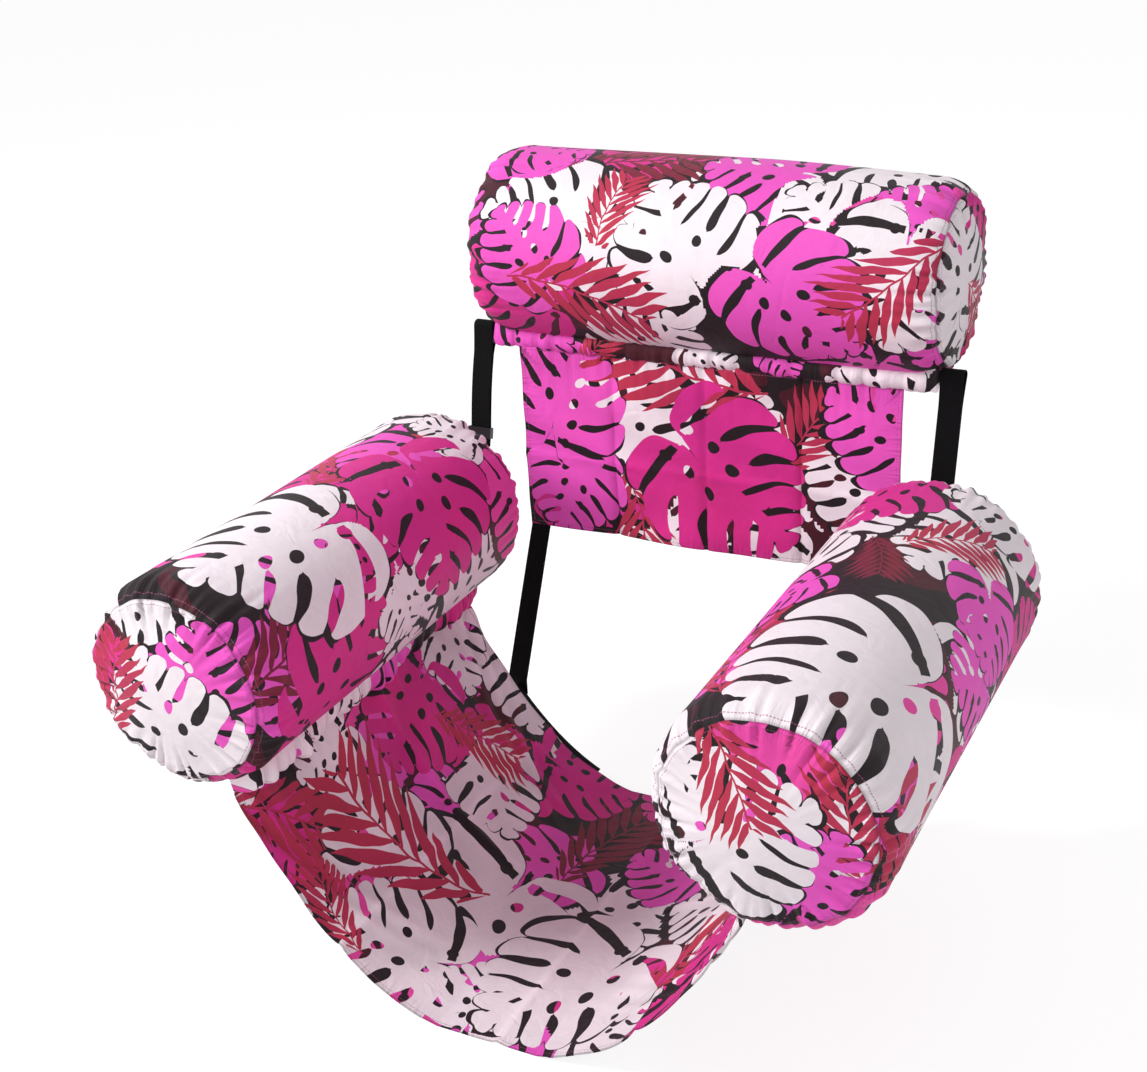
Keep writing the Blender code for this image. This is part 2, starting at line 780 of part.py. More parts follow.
def build():
    slider_mesh = zip_slider_mesh()
    pull_mesh = zip_pull_mesh()
    for name, side in (("left_armrest", -1), ("right_armrest", 1)):
        hinge = Vector((side * hinge_x, armrest_y, hinge_z))
        seam_direction = (-side * math.sin(armrest_seam_angle), 0, -math.cos(armrest_seam_angle))
        place = frame_matrix((side * armrest_x, armrest_y, armrest_z), seam_direction, (0, -side, 0))
        hinge_frame = add_frame(name + "_hinge", Matrix.Translation(hinge))
        frame = add_frame(name + "_frame", Matrix.Translation(-hinge) @ place, hinge_frame)
        add_bolster(name, armrest_length, frame, -side, seat_depth, slider_mesh, pull_mesh)
    backrest = add_frame("backrest_hinge", Matrix.Translation(backrest_hinge))
    seam_direction = (0, -math.sin(headrest_seam_angle), -math.cos(headrest_seam_angle))
    place = frame_matrix((0, headrest_y, headrest_z), seam_direction, (1, 0, 0))
    frame = add_frame("headrest_frame", Matrix.Translation(-backrest_hinge) @ place, backrest)
    add_bolster("headrest", headrest_length, frame, -1, headrest_fin_length, slider_mesh, pull_mesh)
    add_seat()
    add_panel(backrest)
    keeper_mesh = strap_slider_mesh()
    for name, side in (("left", -1), ("right", 1)):
        add_upper_strap(name, side * upper_strap_x, backrest)
        add_strap_slider(name, side * upper_strap_x, keeper_mesh, backrest)
        add_lower_strap(name, side, backrest)
        add_seat_webbing(name, side)


clear_scene()
chair = new_collection("inflatable_pool_chair")
cutters = new_collection("cutters")
build()
bpy.context.view_layer.update()
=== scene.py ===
# Inflatable pool chair with a leaf print, finished like its photograph.
# Metres, +Z up, +Y towards the back. Left is -X, as seen from the front.
import math

import bpy
import numpy as np
from mathutils import Matrix, Vector


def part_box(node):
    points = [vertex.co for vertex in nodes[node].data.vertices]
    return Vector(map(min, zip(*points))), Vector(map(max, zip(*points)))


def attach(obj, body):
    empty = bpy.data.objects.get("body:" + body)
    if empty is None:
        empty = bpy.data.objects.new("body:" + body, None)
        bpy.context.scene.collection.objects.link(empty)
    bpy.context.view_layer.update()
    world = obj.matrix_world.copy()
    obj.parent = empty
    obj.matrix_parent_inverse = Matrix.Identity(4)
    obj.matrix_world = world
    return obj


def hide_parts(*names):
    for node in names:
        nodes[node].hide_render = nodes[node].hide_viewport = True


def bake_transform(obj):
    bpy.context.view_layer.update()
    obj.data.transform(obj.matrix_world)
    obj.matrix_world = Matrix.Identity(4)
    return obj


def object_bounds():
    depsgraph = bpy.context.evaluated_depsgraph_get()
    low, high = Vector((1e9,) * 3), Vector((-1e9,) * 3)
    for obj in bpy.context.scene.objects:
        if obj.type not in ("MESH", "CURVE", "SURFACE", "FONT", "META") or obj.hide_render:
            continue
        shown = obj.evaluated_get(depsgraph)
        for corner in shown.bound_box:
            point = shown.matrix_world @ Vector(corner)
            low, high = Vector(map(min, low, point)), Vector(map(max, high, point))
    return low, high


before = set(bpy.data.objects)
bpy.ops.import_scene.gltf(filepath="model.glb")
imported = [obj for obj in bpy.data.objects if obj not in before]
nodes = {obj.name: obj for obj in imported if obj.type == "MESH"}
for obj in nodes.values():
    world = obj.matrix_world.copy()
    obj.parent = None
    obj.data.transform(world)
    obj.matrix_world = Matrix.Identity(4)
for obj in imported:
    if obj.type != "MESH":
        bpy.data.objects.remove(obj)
cadBox = [list(corner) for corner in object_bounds()]
print("frame loaded")


# Small helpers
def deselectAll():
    bpy.ops.object.select_all(action="DESELECT")


def selectOnly(*pieces):
    deselectAll()
    for piece in pieces:
        piece.select_set(True)
    bpy.context.view_layer.objects.active = pieces[0]


def middleOf(node):
    low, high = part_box(node)
    return (low + high) / 2


def sizeOf(node):
    low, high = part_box(node)
    return high - low


def aroundAxis(angle, radius, height):
    return np.stack([np.cos(angle) * radius, np.sin(angle) * radius, height], 1)


def readPoints(mesh):
    points = np.empty(len(mesh.vertices) * 3)
    mesh.vertices.foreach_get("co", points)
    return points.reshape(-1, 3)


def writePoints(mesh, points):
    mesh.vertices.foreach_set("co", np.ascontiguousarray(points).ravel())
    mesh.update()


def movePoints(piece, matrix):
    piece.data.transform(matrix)
    piece.data.update()


def cornerPoints(mesh):
    corners = np.empty(len(mesh.loops), int)
    mesh.loops.foreach_get("vertex_index", corners)
    return corners


def keepFlatPlace(piece):
    # The flat cloth's own place, in metres, stays with each corner as a UV map.
    flat = readPoints(piece.data)[cornerPoints(piece.data)][:, :2]
    layer = piece.data.uv_layers[0]
    layer.name = "cloth"
    layer.uv.foreach_set("vector", np.ascontiguousarray(flat).ravel())


def flatPlaces(piece):
    # Where each point lies on its flat cloth
    mesh = piece.data
    places = np.empty(len(mesh.loops) * 2)
    mesh.uv_layers["cloth"].uv.foreach_get("vector", places)
    flat = np.zeros((len(mesh.vertices), 2))
    flat[cornerPoints(mesh)] = places.reshape(-1, 2)
    return flat


def pointNormals(mesh):
    normals = np.empty(len(mesh.vertices) * 3)
    mesh.vertices.foreach_get("normal", normals)
    return normals.reshape(-1, 3)


def markSeam(piece, along, away, fold):
    # The way along the nearest seam, the distance from it, and the height of the folds from -1 to 1. The
    # printed cloth paints shade in the seams' grooves from the distance, and painted shade and light on the
    # folds from the height.
    seam = piece.data.attributes.new("seam", "FLOAT_VECTOR", "POINT")
    seam.data.foreach_set("vector", np.stack([along, away, np.clip(fold, -1, 1)], 1).ravel())


def markHems(piece, halfWidth, halfDepth, heightOf):
    flat = flatPlaces(piece)
    aside, ahead = halfWidth - np.abs(flat[:, 0]), halfDepth - np.abs(flat[:, 1])
    along = np.where(aside < ahead, flat[:, 1], flat[:, 0])
    # The folds' heights go to the material's painted shade in the valleys and painted light on the ridges,
    # and the material darkens a thin line along the edges.
    markSeam(piece, along, np.minimum(aside, ahead), heightOf(flat[:, 0], flat[:, 1]) / 0.004)


def addFlatCloth(name, columns, rows, width, depth):
    deselectAll()
    bpy.ops.mesh.primitive_grid_add(x_subdivisions=columns, y_subdivisions=rows, size=1)
    piece = bpy.context.object
    piece.name = piece.data.name = name
    movePoints(piece, Matrix.Diagonal((width, depth, 1, 1)))
    keepFlatPlace(piece)
    return piece


def applyModifier(piece, kind, **values):
    selectOnly(piece)
    modifier = piece.modifiers.new(kind.lower(), kind)
    for key, value in values.items():
        setattr(modifier, key, value)
    bpy.ops.object.modifier_apply(modifier=modifier.name)


def subdivideOnce(piece):
    applyModifier(piece, "SUBSURF", levels=1, render_levels=1, uv_smooth="NONE")


def thicken(piece, thickness):
    applyModifier(piece, "SOLIDIFY", thickness=thickness, offset=0, use_even_offset=False)


def shadeSmooth(piece, degrees=None):
    selectOnly(piece)
    if degrees is None:
        bpy.ops.object.shade_smooth()
    else:
        bpy.ops.object.shade_smooth_by_angle(angle=math.radians(degrees))


def editAll(*steps):
    # Runs each step on the whole of the selected meshes.
    bpy.ops.object.mode_set(mode="EDIT")
    for operator, values in steps:
        bpy.ops.mesh.select_all(action="SELECT")
        operator(**values)
    bpy.ops.object.mode_set(mode="OBJECT")


def weldAll(threshold):
    editAll(
        (bpy.ops.mesh.remove_doubles, {"threshold": threshold}),
        (bpy.ops.mesh.normals_make_consistent, {"inside": False}),
    )


def colourOf(hexCode):
    channels = [int(hexCode[i : i + 2], 16) / 255 for i in (0, 2, 4)]
    linear = [c / 12.92 if c <= 0.04045 else ((c + 0.055) / 1.055) ** 2.4 for c in channels]
    return (*linear, 1)


def grey(shade):
    return (shade, shade, shade, 1)


# Node trees. A Value is a number in one, and is reckoned with like any other number.
def setInputs(tree, node, inputs):
    for name, value in inputs.items():
        if isinstance(value, Value):
            value = value.socket
        if isinstance(value, bpy.types.NodeSocket):
            tree.links.new(value, node.inputs[name])
        else:
            node.inputs[name].default_value = value


def addNode(tree, kind, inputs=None, **values):
    node = tree.nodes.new(kind)
    for key, value in values.items():
        setattr(node, key, value)
    setInputs(tree, node, inputs or {})
    return node


def mathStep(operation, swapped=False):
    def step(self, other=0.0):
        first, second = (other, self) if swapped else (self, other)
        node = addNode(self.tree, "ShaderNodeMath", {0: first, 1: second}, operation=operation)
        return Value(self.tree, node.outputs[0])

    return step


class Value:
    def __init__(self, tree, socket):
        self.tree, self.socket = tree, socket

    __add__ = __radd__ = mathStep("ADD")
    __mul__ = __rmul__ = mathStep("MULTIPLY")
    __sub__, __rsub__ = mathStep("SUBTRACT"), mathStep("SUBTRACT", swapped=True)
    __truediv__, __pow__ = mathStep("DIVIDE"), mathStep("POWER")
    __lt__, __gt__ = mathStep("LESS_THAN"), mathStep("GREATER_THAN")
    __abs__, sqrt, sine = mathStep("ABSOLUTE"), mathStep("SQRT"), mathStep("SINE")
    fract, floor, arctan2 = mathStep("FRACT"), mathStep("FLOOR"), mathStep("ARCTAN2")
    max, min = mathStep("MAXIMUM"), mathStep("MINIMUM")


def splitVector(tree, vector):
    node = addNode(tree, "ShaderNodeSeparateXYZ", {"Vector": vector})
    return [Value(tree, socket) for socket in node.outputs]


def addNoise(tree, place, scale, detail, output="Fac", **more):
    node = addNode(tree, "ShaderNodeTexNoise", {"Vector": place, "Scale": scale, "Detail": detail, **more})
    return Value(tree, node.outputs[output])


def drawLuck(number):
    # A chance number from 0 to 1 that belongs to each whole number
    node = addNode(number.tree, "ShaderNodeTexWhiteNoise", {"W": number}, noise_dimensions="1D")
    return Value(number.tree, node.outputs["Value"])


def addCurve(value, points):
    node = addNode(value.tree, "ShaderNodeFloatCurve", {"Value": value})
    curve = node.mapping.curves[0]
    while len(curve.points) < len(points):
        curve.points.new(0.5, 0.5)
    for curvePoint, place in zip(curve.points, points):
        curvePoint.location = place
    node.mapping.update()
    return Value(value.tree, node.outputs[0])


def mixColours(tree, share, first, second):
    return addNode(tree, "ShaderNodeMix", {0: share, 6: first, 7: second}, data_type="RGBA").outputs[2]


def readMap(tree, name):
    return addNode(tree, "ShaderNodeUVMap", uv_map=name).outputs[0]


def newMaterial(name):
    material = bpy.data.materials.new(name)
    material.use_nodes = True
    return material, material.node_tree, material.node_tree.nodes["Principled BSDF"]


# Camera at the photograph's angle
view = {
    "azimuth": math.radians(27.68),
    "elevation": math.radians(24.15),
    "roll": math.radians(-2.94),
    "distance": 1.911,
    "lens": 54.94,
    "target": Vector((-0.084, 0.0503, 0.357)),
}


def addCamera():
    deselectAll()
    bpy.ops.object.camera_add()
    camera = bpy.context.object
    camera.data.lens = view["lens"]
    across, up = math.cos(view["elevation"]), math.sin(view["elevation"])
    back = Vector((math.sin(view["azimuth"]) * across, -math.cos(view["azimuth"]) * across, up))
    turn = back.to_track_quat("Z", "Y").to_matrix() @ Matrix.Rotation(view["roll"], 3, "Z")
    camera.matrix_world = Matrix.Translation(view["target"] + back * view["distance"]) @ turn.to_4x4()
    bpy.context.scene.camera = camera


# Stage: a pale floor, soft light from above and in front, white behind
stage = {
    "floorSize": 60,
    "floorDrop": 0.0006,
    "floorColour": 0.8,
    "floorShade": 0.36,
    "floorGlow": 0.81,
    "roomLight": 0.45,
    "keyPlace": (-1.9, -1.5, 2.4),
    "keySize": 0.9,
    "keyPower": 80,
    "fillPlace": (2.4, -1.2, 1.5),
    "fillSize": 1.6,
    "fillPower": 12,
    "aim": Vector((0, 0, 0.35)),
}


def seenDirectly(tree):
    # 1 for what the camera sees, also in or through something glossy or clear
    path = addNode(tree, "ShaderNodeLightPath")
    camera, glossy, clear = (
        Value(tree, path.outputs[f"Is {kind} Ray"]) for kind in ("Camera", "Glossy", "Transmission")
    )
    return camera.max(glossy).max(clear)


def chooseShader(tree, elsewhere, seen, output):
    # The second shader is for what is seen directly, and the first for the light that falls on the chair.
    mix = addNode(
        tree, "ShaderNodeMixShader", {0: seenDirectly(tree), 1: elsewhere.outputs[0], 2: seen.outputs[0]}
    )
    tree.links.new(mix.outputs[0], tree.nodes[output].inputs["Surface"])


def addFloor():
    deselectAll()
    low = cadBox[0][2] - stage["floorDrop"]
    bpy.ops.mesh.primitive_plane_add(size=stage["floorSize"], location=(0, 0, low))
    floor = bpy.context.object
    floor.name = "paleFloor"
    material, tree, shader = newMaterial("paleFloor")
    tree.nodes.remove(shader)
    plain = addNode(tree, "ShaderNodeBsdfDiffuse", {"Color": grey(stage["floorColour"])})
    shade = addNode(tree, "ShaderNodeBsdfDiffuse", {"Color": grey(stage["floorShade"])})
    glow = addNode(tree, "ShaderNodeEmission", {"Strength": stage["floorGlow"]})
    both = addNode(tree, "ShaderNodeAddShader", {0: shade.outputs[0], 1: glow.outputs[0]})
    chooseShader(tree, plain, both, "Material Output")
    floor.data.materials.append(material)


def addRoomLight():
    world = bpy.data.worlds.new("room")
    bpy.context.scene.world = world
    world.use_nodes = True
    tree = world.node_tree
    soft, white = tree.nodes["Background"], addNode(tree, "ShaderNodeBackground", {"Color": grey(1)})
    setInputs(tree, soft, {"Color": grey(1), "Strength": stage["roomLight"]})
    chooseShader(tree, soft, white, "World Output")


def addSoftLamp(name):
    deselectAll()
    place = Vector(stage[name + "Place"])
    bpy.ops.object.light_add(type="AREA", location=place)
    lamp = bpy.context.object
    lamp.name = name
    lamp.data.size = stage[name + "Size"]
    lamp.data.energy = stage[name + "Power"]
    lamp.rotation_euler = (place - stage["aim"]).to_track_quat("Z", "Y").to_euler()


addCamera()
addFloor()
addRoomLight()
addSoftLamp("key")
addSoftLamp("fill")
bpy.context.scene.view_settings.view_transform = "Standard"
print("stage set")


# Finishes
dyes = {
    "ground": colourOf("180a11"),
    "groundRed": colourOf("45101f"),
    "pale": colourOf("f6eaf1"),
    "pink": colourOf("f058c6"),
    "magenta": colourOf("dc2e90"),
    "rose": colourOf("ec4aa6"),
    "crimson": colourOf("bc3152"),
    "oxblood": colourOf("7c2038"),
    "thread": colourOf("a8567f"),
}
leafDyes = ("pale", "pink", "magenta", "rose")
frondDyes = ("crimson", "oxblood")
leafLayers = ("leavesLow", "frondsLow", "leavesMid", "leavesTop", "frondsTop")
farAway = 3.0
dyeStep = 8.0  # how far apart in U the dyes of one layer are kept

cloth = {
    "weavePitch": 0.0009,
    "weaveDepth": 0.00006,
    "crumpleSize": 0.035,
    "crumpleDepth": 0.0012,
    "roughness": 0.55,
    "sheen": 0.04,
    "gloss": 0.22,
    "stitchAway": 0.0045,
    "stitchPitch": 0.0032,
    "stitchWidth": 0.0007,
    "stitchShare": 0.66,
    "stitchDepth": 0.0004,
    "stitchTint": 0.7,
    "gatherDepth": 0.0022,
    "gatherReach": 0.030,
    # Painted shade in the folds' valleys and the seams' grooves, and painted light on the folds' ridges
    "paintedFoldShadeAndLight": 0.16,
    "paintedGrooveShadeWidth": 0.0022,
}


def startLeafGroup(name):
    group = bpy.data.node_groups.new(name, "ShaderNodeTree")
    group.interface.new_socket("Place", in_out="INPUT", socket_type="NodeSocketVector")
    for output in ("Cover", "Slit", "Dye"):
        group.interface.new_socket(output, in_out="OUTPUT", socket_type="NodeSocketFloat")
    place = group.nodes.new("NodeGroupInput").outputs[0]
    u, v, _ = splitVector(group, place)
    dye = (u * (1 / dyeStep) + 0.5).floor()
    # A slow wobble keeps the drawn edges from looking ruled.
    driftX, driftY, _ = splitVector(group, addNoise(group, place, 2.6, 1.0, "Color"))
    x = dye * -dyeStep + u + (driftX * 0.10 - 0.05)
    y = v + (driftY * 0.10 - 0.05)
    return group, x, y, dye, place


def endLeafGroup(group, cover, slit, dye):
    setInputs(group, group.nodes.new("NodeGroupOutput"), {0: cover, 1: slit, 2: dye})
    return group


# One split leaf: Y runs along its midrib to the tip, and its half length is 1.
splitLeaf = {
    "outline": (
        (0, 1), (0.06, 0.93), (0.2, 0.85), (0.4, 0.82), (0.6, 0.80), (0.78, 0.76), (0.9, 0.62),
        (0.97, 0.36), (1, 0.12),
    ),
    "slitWidth": ((0, 0), (0.38, 0), (0.43, 0.10), (0.53, 0.16), (0.70, 0.13), (0.85, 0.075), (1, 0.04)),
    "veinPitch": 0.215,
    "midribWidth": 0.07,
    "notchDepth": 0.11,
    "surroundShare": 0.03,
}


def makeSplitLeaf():
    group, x, y, dye, place = startLeafGroup("splitLeaf")
    side = abs(x)
    radius = (x * x + y * y).sqrt()
    reach = radius / addCurve(side.arctan2(y) / math.pi, splitLeaf["outline"])
    # Veins leave the midrib and bend towards the tip, or away from it in the lower lobes.
    vein = y * (side * -0.75 + 1.0) - side * (side * 0.25 + 0.10)
    count = vein / splitLeaf["veinPitch"]
    across = abs(count.fract() - 0.5)
    number = dye * 7.0 + ((x > 0) * 31.0 + count.floor())
    luck, luckAgain = drawLuck(number), drawLuck(number + 0.37)
    width = addCurve((reach + (luck * 0.24 - 0.16)).min(1.0), splitLeaf["slitWidth"])
    slit = (across < width * (luckAgain * 0.6 + 0.7)) * (side > splitLeaf["midribWidth"])
    # Small holes beside the midrib
    hole = (abs(side - (luck * 0.08 + 0.12)) / 0.05) ** 2.0 + (across / 0.24) ** 2.0
    slit = slit.max((hole < 1.0) * (luckAgain > 0.45) * (radius < 0.6))
    notch = (across * -2.0 + 1.0) ** 3.0
    edge = notch * -splitLeaf["notchDepth"] + 1.0 - splitLeaf["surroundShare"]
    # An uneven dark surround parts the leaf from what lies below.
    surround = (addNoise(group, place, 1.7, 0.0) * 0.36 - 0.175).max(0.0)
    leaf, outside = reach < edge + surround, reach > edge
    slit = slit.max(outside)
    # Over half of the slits are printed dark, and the rest show what lies below.
    dark = slit * (luck > 0.42).max(outside)
    return endLeafGroup(group, leaf * (1.0 - (slit - dark)), dark, dye)


# One palm frond: Y runs along its stalk, and its half length is 1.
frond = {
    "leafletLength": ((0, 0.26), (0.15, 0.48), (0.35, 0.74), (0.55, 0.78), (0.8, 0.56), (1, 0.22)),
    "leafletWidth": ((0, 0.05), (0.10, 0.20), (0.36, 0.44), (0.62, 0.37), (0.85, 0.16), (1, 0)),
    "leafletPitch": 0.225,
    "leafletSlant": 1.1,
    "stalkHalfWidth": 0.016,
    "stalkBow": 0.12,
}


def makeFrond():
    group, x, y, dye, _ = startLeafGroup("frond")
    x = x - y * y * frond["stalkBow"]
    side, left = abs(x), x > 0
    along = y - side * frond["leafletSlant"]
    count = left * 0.5 + along / frond["leafletPitch"]
    across = abs(count.fract() - 0.5)
    luck = drawLuck(left * 31.0 + count.floor())
    length = addCurve((along * 0.5 + 0.5).min(1.0).max(0.0), frond["leafletLength"]) * (luck * 0.3 + 0.8)
    share = side / length
    leaflet = across < addCurve(share.min(1.0), frond["leafletWidth"])
    leaflet = leaflet * (share < 1.0) * (abs(along) < 0.98)
    cover = leaflet.max((side < frond["stalkHalfWidth"]) * (abs(y) < 1.0))
    return endLeafGroup(group, cover, cover * 0.0, dye)


def pickDye(tree, number, names):
    ramp = addNode(tree, "ShaderNodeValToRGB", {"Fac": number * (1 / len(names))})
    ramp.color_ramp.interpolation = "CONSTANT"
    while len(ramp.color_ramp.elements) < len(names):
        ramp.color_ramp.elements.new(0.5)
    for i, name in enumerate(names):
        ramp.color_ramp.elements[i].position = max(i - 0.5, 0) / len(names)
        ramp.color_ramp.elements[i].color = dyes[name]
    return ramp.outputs["Color"]


leafGroup = makeSplitLeaf()
frondGroup = makeFrond()


def findStitches(seam):
    # A row of stitches beside each seam and hem
    row = abs(seam[1] - cloth["stitchAway"]) < cloth["stitchWidth"] / 2
    return row * ((seam[0] / cloth["stitchPitch"]).fract() < cloth["stitchShare"])


def clothBump(tree, place, seam, stitches, crumple=1.0):
    # A plain weave, soft creases that meet at sharp folds, gathers beside the seams, and stitches
    turns = 2 * math.pi / cloth["weavePitch"]
    threads = [(axis * turns).sine() for axis in splitVector(tree, place)[:2]]
    folds = addNoise(tree, place, 1 / cloth["crumpleSize"], 2.5, Roughness=0.55, Distortion=0.6)
    across = addNode(tree, "ShaderNodeCombineXYZ", {"X": seam[0] * 150.0, "Y": seam[1] * 22.0})
    puckers = addNoise(tree, across.outputs[0], 1.0, 2.0)
    near = (seam[1] * (-1 / cloth["gatherReach"]) + 1.0).max(0.0) ** 1.6
    bumps = (
        (cloth["weaveDepth"], threads[0] * threads[1], 1.0), (cloth["stitchDepth"], stitches, 1.0),
        (cloth["crumpleDepth"] * 2, abs(folds - 0.5), crumple),
        (cloth["gatherDepth"] * 2, abs(puckers - 0.5) * near, 1.0),
    )
    normal = None
    for depth, height, strength in bumps:
        bump = addNode(tree, "ShaderNodeBump", {"Strength": strength, "Distance": depth, "Height": height})
        if normal:
            tree.links.new(normal, bump.inputs["Normal"])
        normal = bump.outputs[0]
    return normal


def makePrintedCloth(name, shade=1.0, crumple=1.0):
    material, tree, shader = newMaterial(name)
    place = readMap(tree, "cloth")
    patches = addNoise(tree, place, 9.0, 1.0)
    colour = mixColours(tree, patches > 0.56, dyes["ground"], dyes["groundRed"])
    for layer in leafLayers:
        isFrond = layer.startswith("fronds")
        leaf = addNode(tree, "ShaderNodeGroup", node_tree=frondGroup if isFrond else leafGroup)
        tree.links.new(readMap(tree, layer), leaf.inputs[0])
        dye = pickDye(tree, Value(tree, leaf.outputs["Dye"]), frondDyes if isFrond else leafDyes)
        if not isFrond:
            dye = mixColours(tree, leaf.outputs["Slit"], dye, dyes["ground"])
        colour = mixColours(tree, leaf.outputs["Cover"], colour, dye)
    seam = splitVector(tree, addNode(tree, "ShaderNodeAttribute", attribute_name="seam").outputs["Vector"])
    stitches = findStitches(seam)
    colour = mixColours(tree, stitches * cloth["stitchTint"], colour, dyes["thread"])
    # The dye takes a little unevenly, in patches and in specks, and a shade below 1 paints the whole cloth
    # darker as painted shade.
    specks, wide = addNoise(tree, place, 60.0, 3.0), addNoise(tree, place, 7.0, 2.0)
    tone = specks * 0.10 + 0.85 * shade + wide * 0.22
    # Painted shade and light: the folds' valleys and the seams' grooves are painted darker, and the folds'
    # ridges painted lighter.
    paintedGrooveShade = (seam[1] * (-1 / cloth["paintedGrooveShadeWidth"]) + 1.0).max(0.0)
    tone = (tone + seam[2] * cloth["paintedFoldShadeAndLight"]) * (paintedGrooveShade * -0.45 + 1.0)
    toned = addNode(
        tree, "ShaderNodeHueSaturation", {"Hue": wide * 0.03 + 0.485, "Value": tone, "Color": colour}
    )
    setInputs(tree, shader, {
        "Base Color": toned.outputs[0],
        "Roughness": cloth["roughness"],
        "Specular IOR Level": cloth["gloss"],
        "Sheen Weight": cloth["sheen"],
        "Normal": clothBump(tree, place, seam, stitches, crumple),
    })
    return material


def underPrint(width, depth, first):
    # Staggered leaves that fill the cloth below the listed ones
    spacing, size = 0.150, 0.100
    leaves = []
    rows = math.ceil(depth / (spacing * 0.87)) + 1
    columns = math.ceil(width / spacing) + 1
    for row in range(rows):
        for column in range(columns):
            number = first + row * columns + column
            s = (column - (columns - 1) / 2 + 0.5 * (row % 2) - 0.25) * spacing
            t = (row - (rows - 1) / 2) * spacing * 0.87
            dye = ("magenta", "pale", "pink", "pale", "rose")[number * 3 % 5]
            leaves.append((s, t, number * 137 % 360, size, dye))
    return leaves


def inMetres(entry):
    # A leaf is laid down as its s, t, turn in degrees, half length and dye, and a bare spot as s, t, radius.
    return tuple(
        value / 1000 if i != 2 or len(entry) == 3 else value for i, value in enumerate(entry[:4])
    ) + entry[4:]


def printLeaves(piece, layout, width, depth, first):
    # Gives each face the nearest leaf of each layer, and keeps the corners' places on that leaf.
    layout = {layer: [inMetres(entry) for entry in entries] for layer, entries in layout.items()}
    bare = layout.get("bare", [])
    filling = [
        leaf for leaf in underPrint(width, depth, first)
        if all(math.dist(leaf[:2], spot[:2]) > spot[2] for spot in bare)
    ]
    layout = dict(layout, leavesLow=filling + layout.get("leavesLow", []))
    mesh = piece.data
    flat = np.empty(len(mesh.loops) * 2)
    mesh.uv_layers["cloth"].uv.foreach_get("vector", flat)
    flat = flat.reshape(-1, 2)
    starts = np.empty(len(mesh.polygons), int)
    totals = np.empty(len(mesh.polygons), int)
    mesh.polygons.foreach_get("loop_start", starts)
    mesh.polygons.foreach_get("loop_total", totals)
    faces = np.repeat(np.arange(len(starts)), totals)
    middles = np.add.reduceat(flat, starts) / totals[:, None]
    for layer in leafLayers:
        place = np.full_like(flat, farAway)
        leaves = layout.get(layer, [])
        if leaves:
            names = frondDyes if layer.startswith("fronds") else leafDyes
            centres = np.array([leaf[:2] for leaf in leaves])
            turns = np.radians([leaf[2] for leaf in leaves])
            sizes = np.array([leaf[3] for leaf in leaves])
            dye = np.array([names.index(leaf[4]) for leaf in leaves]) * dyeStep
            away = middles[:, None] - centres
            gaps = np.linalg.norm(away, axis=2) / sizes
            if names is leafDyes:
                # Where two overlap, the later one in the list lies on top.
                offTip = np.arctan2(away[..., 1], away[..., 0]) - turns
                tip = np.abs(np.angle(np.exp(1j * offTip))) / math.pi
                gaps /= np.interp(tip, *zip(*splitLeaf["outline"]))
                gaps = np.where(gaps < 1.06 + 0.002 / sizes, -np.arange(len(leaves)), gaps + 1)
            nearest = gaps.argmin(axis=1)[faces]
            near = (gaps.min(axis=1) < 2.5)[faces]
            offset = (flat - centres[nearest]) / sizes[nearest, None]
            cos, sin = np.cos(turns[nearest]), np.sin(turns[nearest])
            across, along = offset[:, 0] * sin - offset[:, 1] * cos, offset[:, 0] * cos + offset[:, 1] * sin
            onLeaf = np.stack([across, along], 1)
            onLeaf[:, 0] += dye[nearest]
            place = np.where(near[:, None], onLeaf, farAway)
        mesh.uv_layers.new(name=layer).uv.foreach_set("vector", np.ascontiguousarray(place).ravel())


printedCover = makePrintedCloth("printedCoverCloth")
# The seat's copy of the print is painted darker all over: painted shade for the seat lying low in the rolls'
# shadow.
printedSeatPaintedShade = makePrintedCloth("printedSeatCloth", shade=0.88, crumple=1.3)
printedPanel = makePrintedCloth("printedPanelCloth", crumple=0.8)
print("printed cloth mixed")


# Plain finishes
def makeWebbing(name, hexCode, ribPitch, ribDepth):
    # Woven tape: slanted threads in narrow rows
    material, tree, shader = newMaterial(name)
    place = readMap(tree, "cloth")
    u, v, _ = splitVector(tree, place)
    across = u / ribPitch
    slant = abs(across.fract() - 0.5) * ribPitch
    threads = ((v + slant) * (2 * math.pi / (ribPitch * 0.55))).sine()
    height = threads * 0.4 + abs((across * math.pi).sine())
    bump = addNode(tree, "ShaderNodeBump", {"Distance": ribDepth, "Height": height})
    base = colourOf(hexCode)
    worn = tuple(channel * 1.9 + 0.002 for channel in base[:3]) + (1,)
    share = (height * 0.3 + 0.2) * addNoise(tree, place, 300.0, 2.0)
    setInputs(tree, shader, {
        "Base Color": mixColours(tree, share, base, worn),
        "Roughness": 0.75,
        "Specular IOR Level": 0.10,
        "Normal": bump.outputs[0],
    })
    return material


def makePlastic(name, hexCode, roughness, grainSize):
    material, tree, shader = newMaterial(name)
    place = tree.nodes.new("ShaderNodeTexCoord").outputs["Object"]
    grain = addNoise(tree, place, 1 / grainSize, 3.0)
    bump = addNode(tree, "ShaderNodeBump", {"Distance": 0.00003, "Height": grain})
    base = colourOf(hexCode)
    faded = tuple(min(channel * 1.25 + 0.006, 1) for channel in base[:3]) + (1,)
    setInputs(tree, shader, {
        "Base Color": mixColours(tree, grain, base, faded),
        "Roughness": roughness,
        "Normal": bump.outputs[0],
    })
    return material


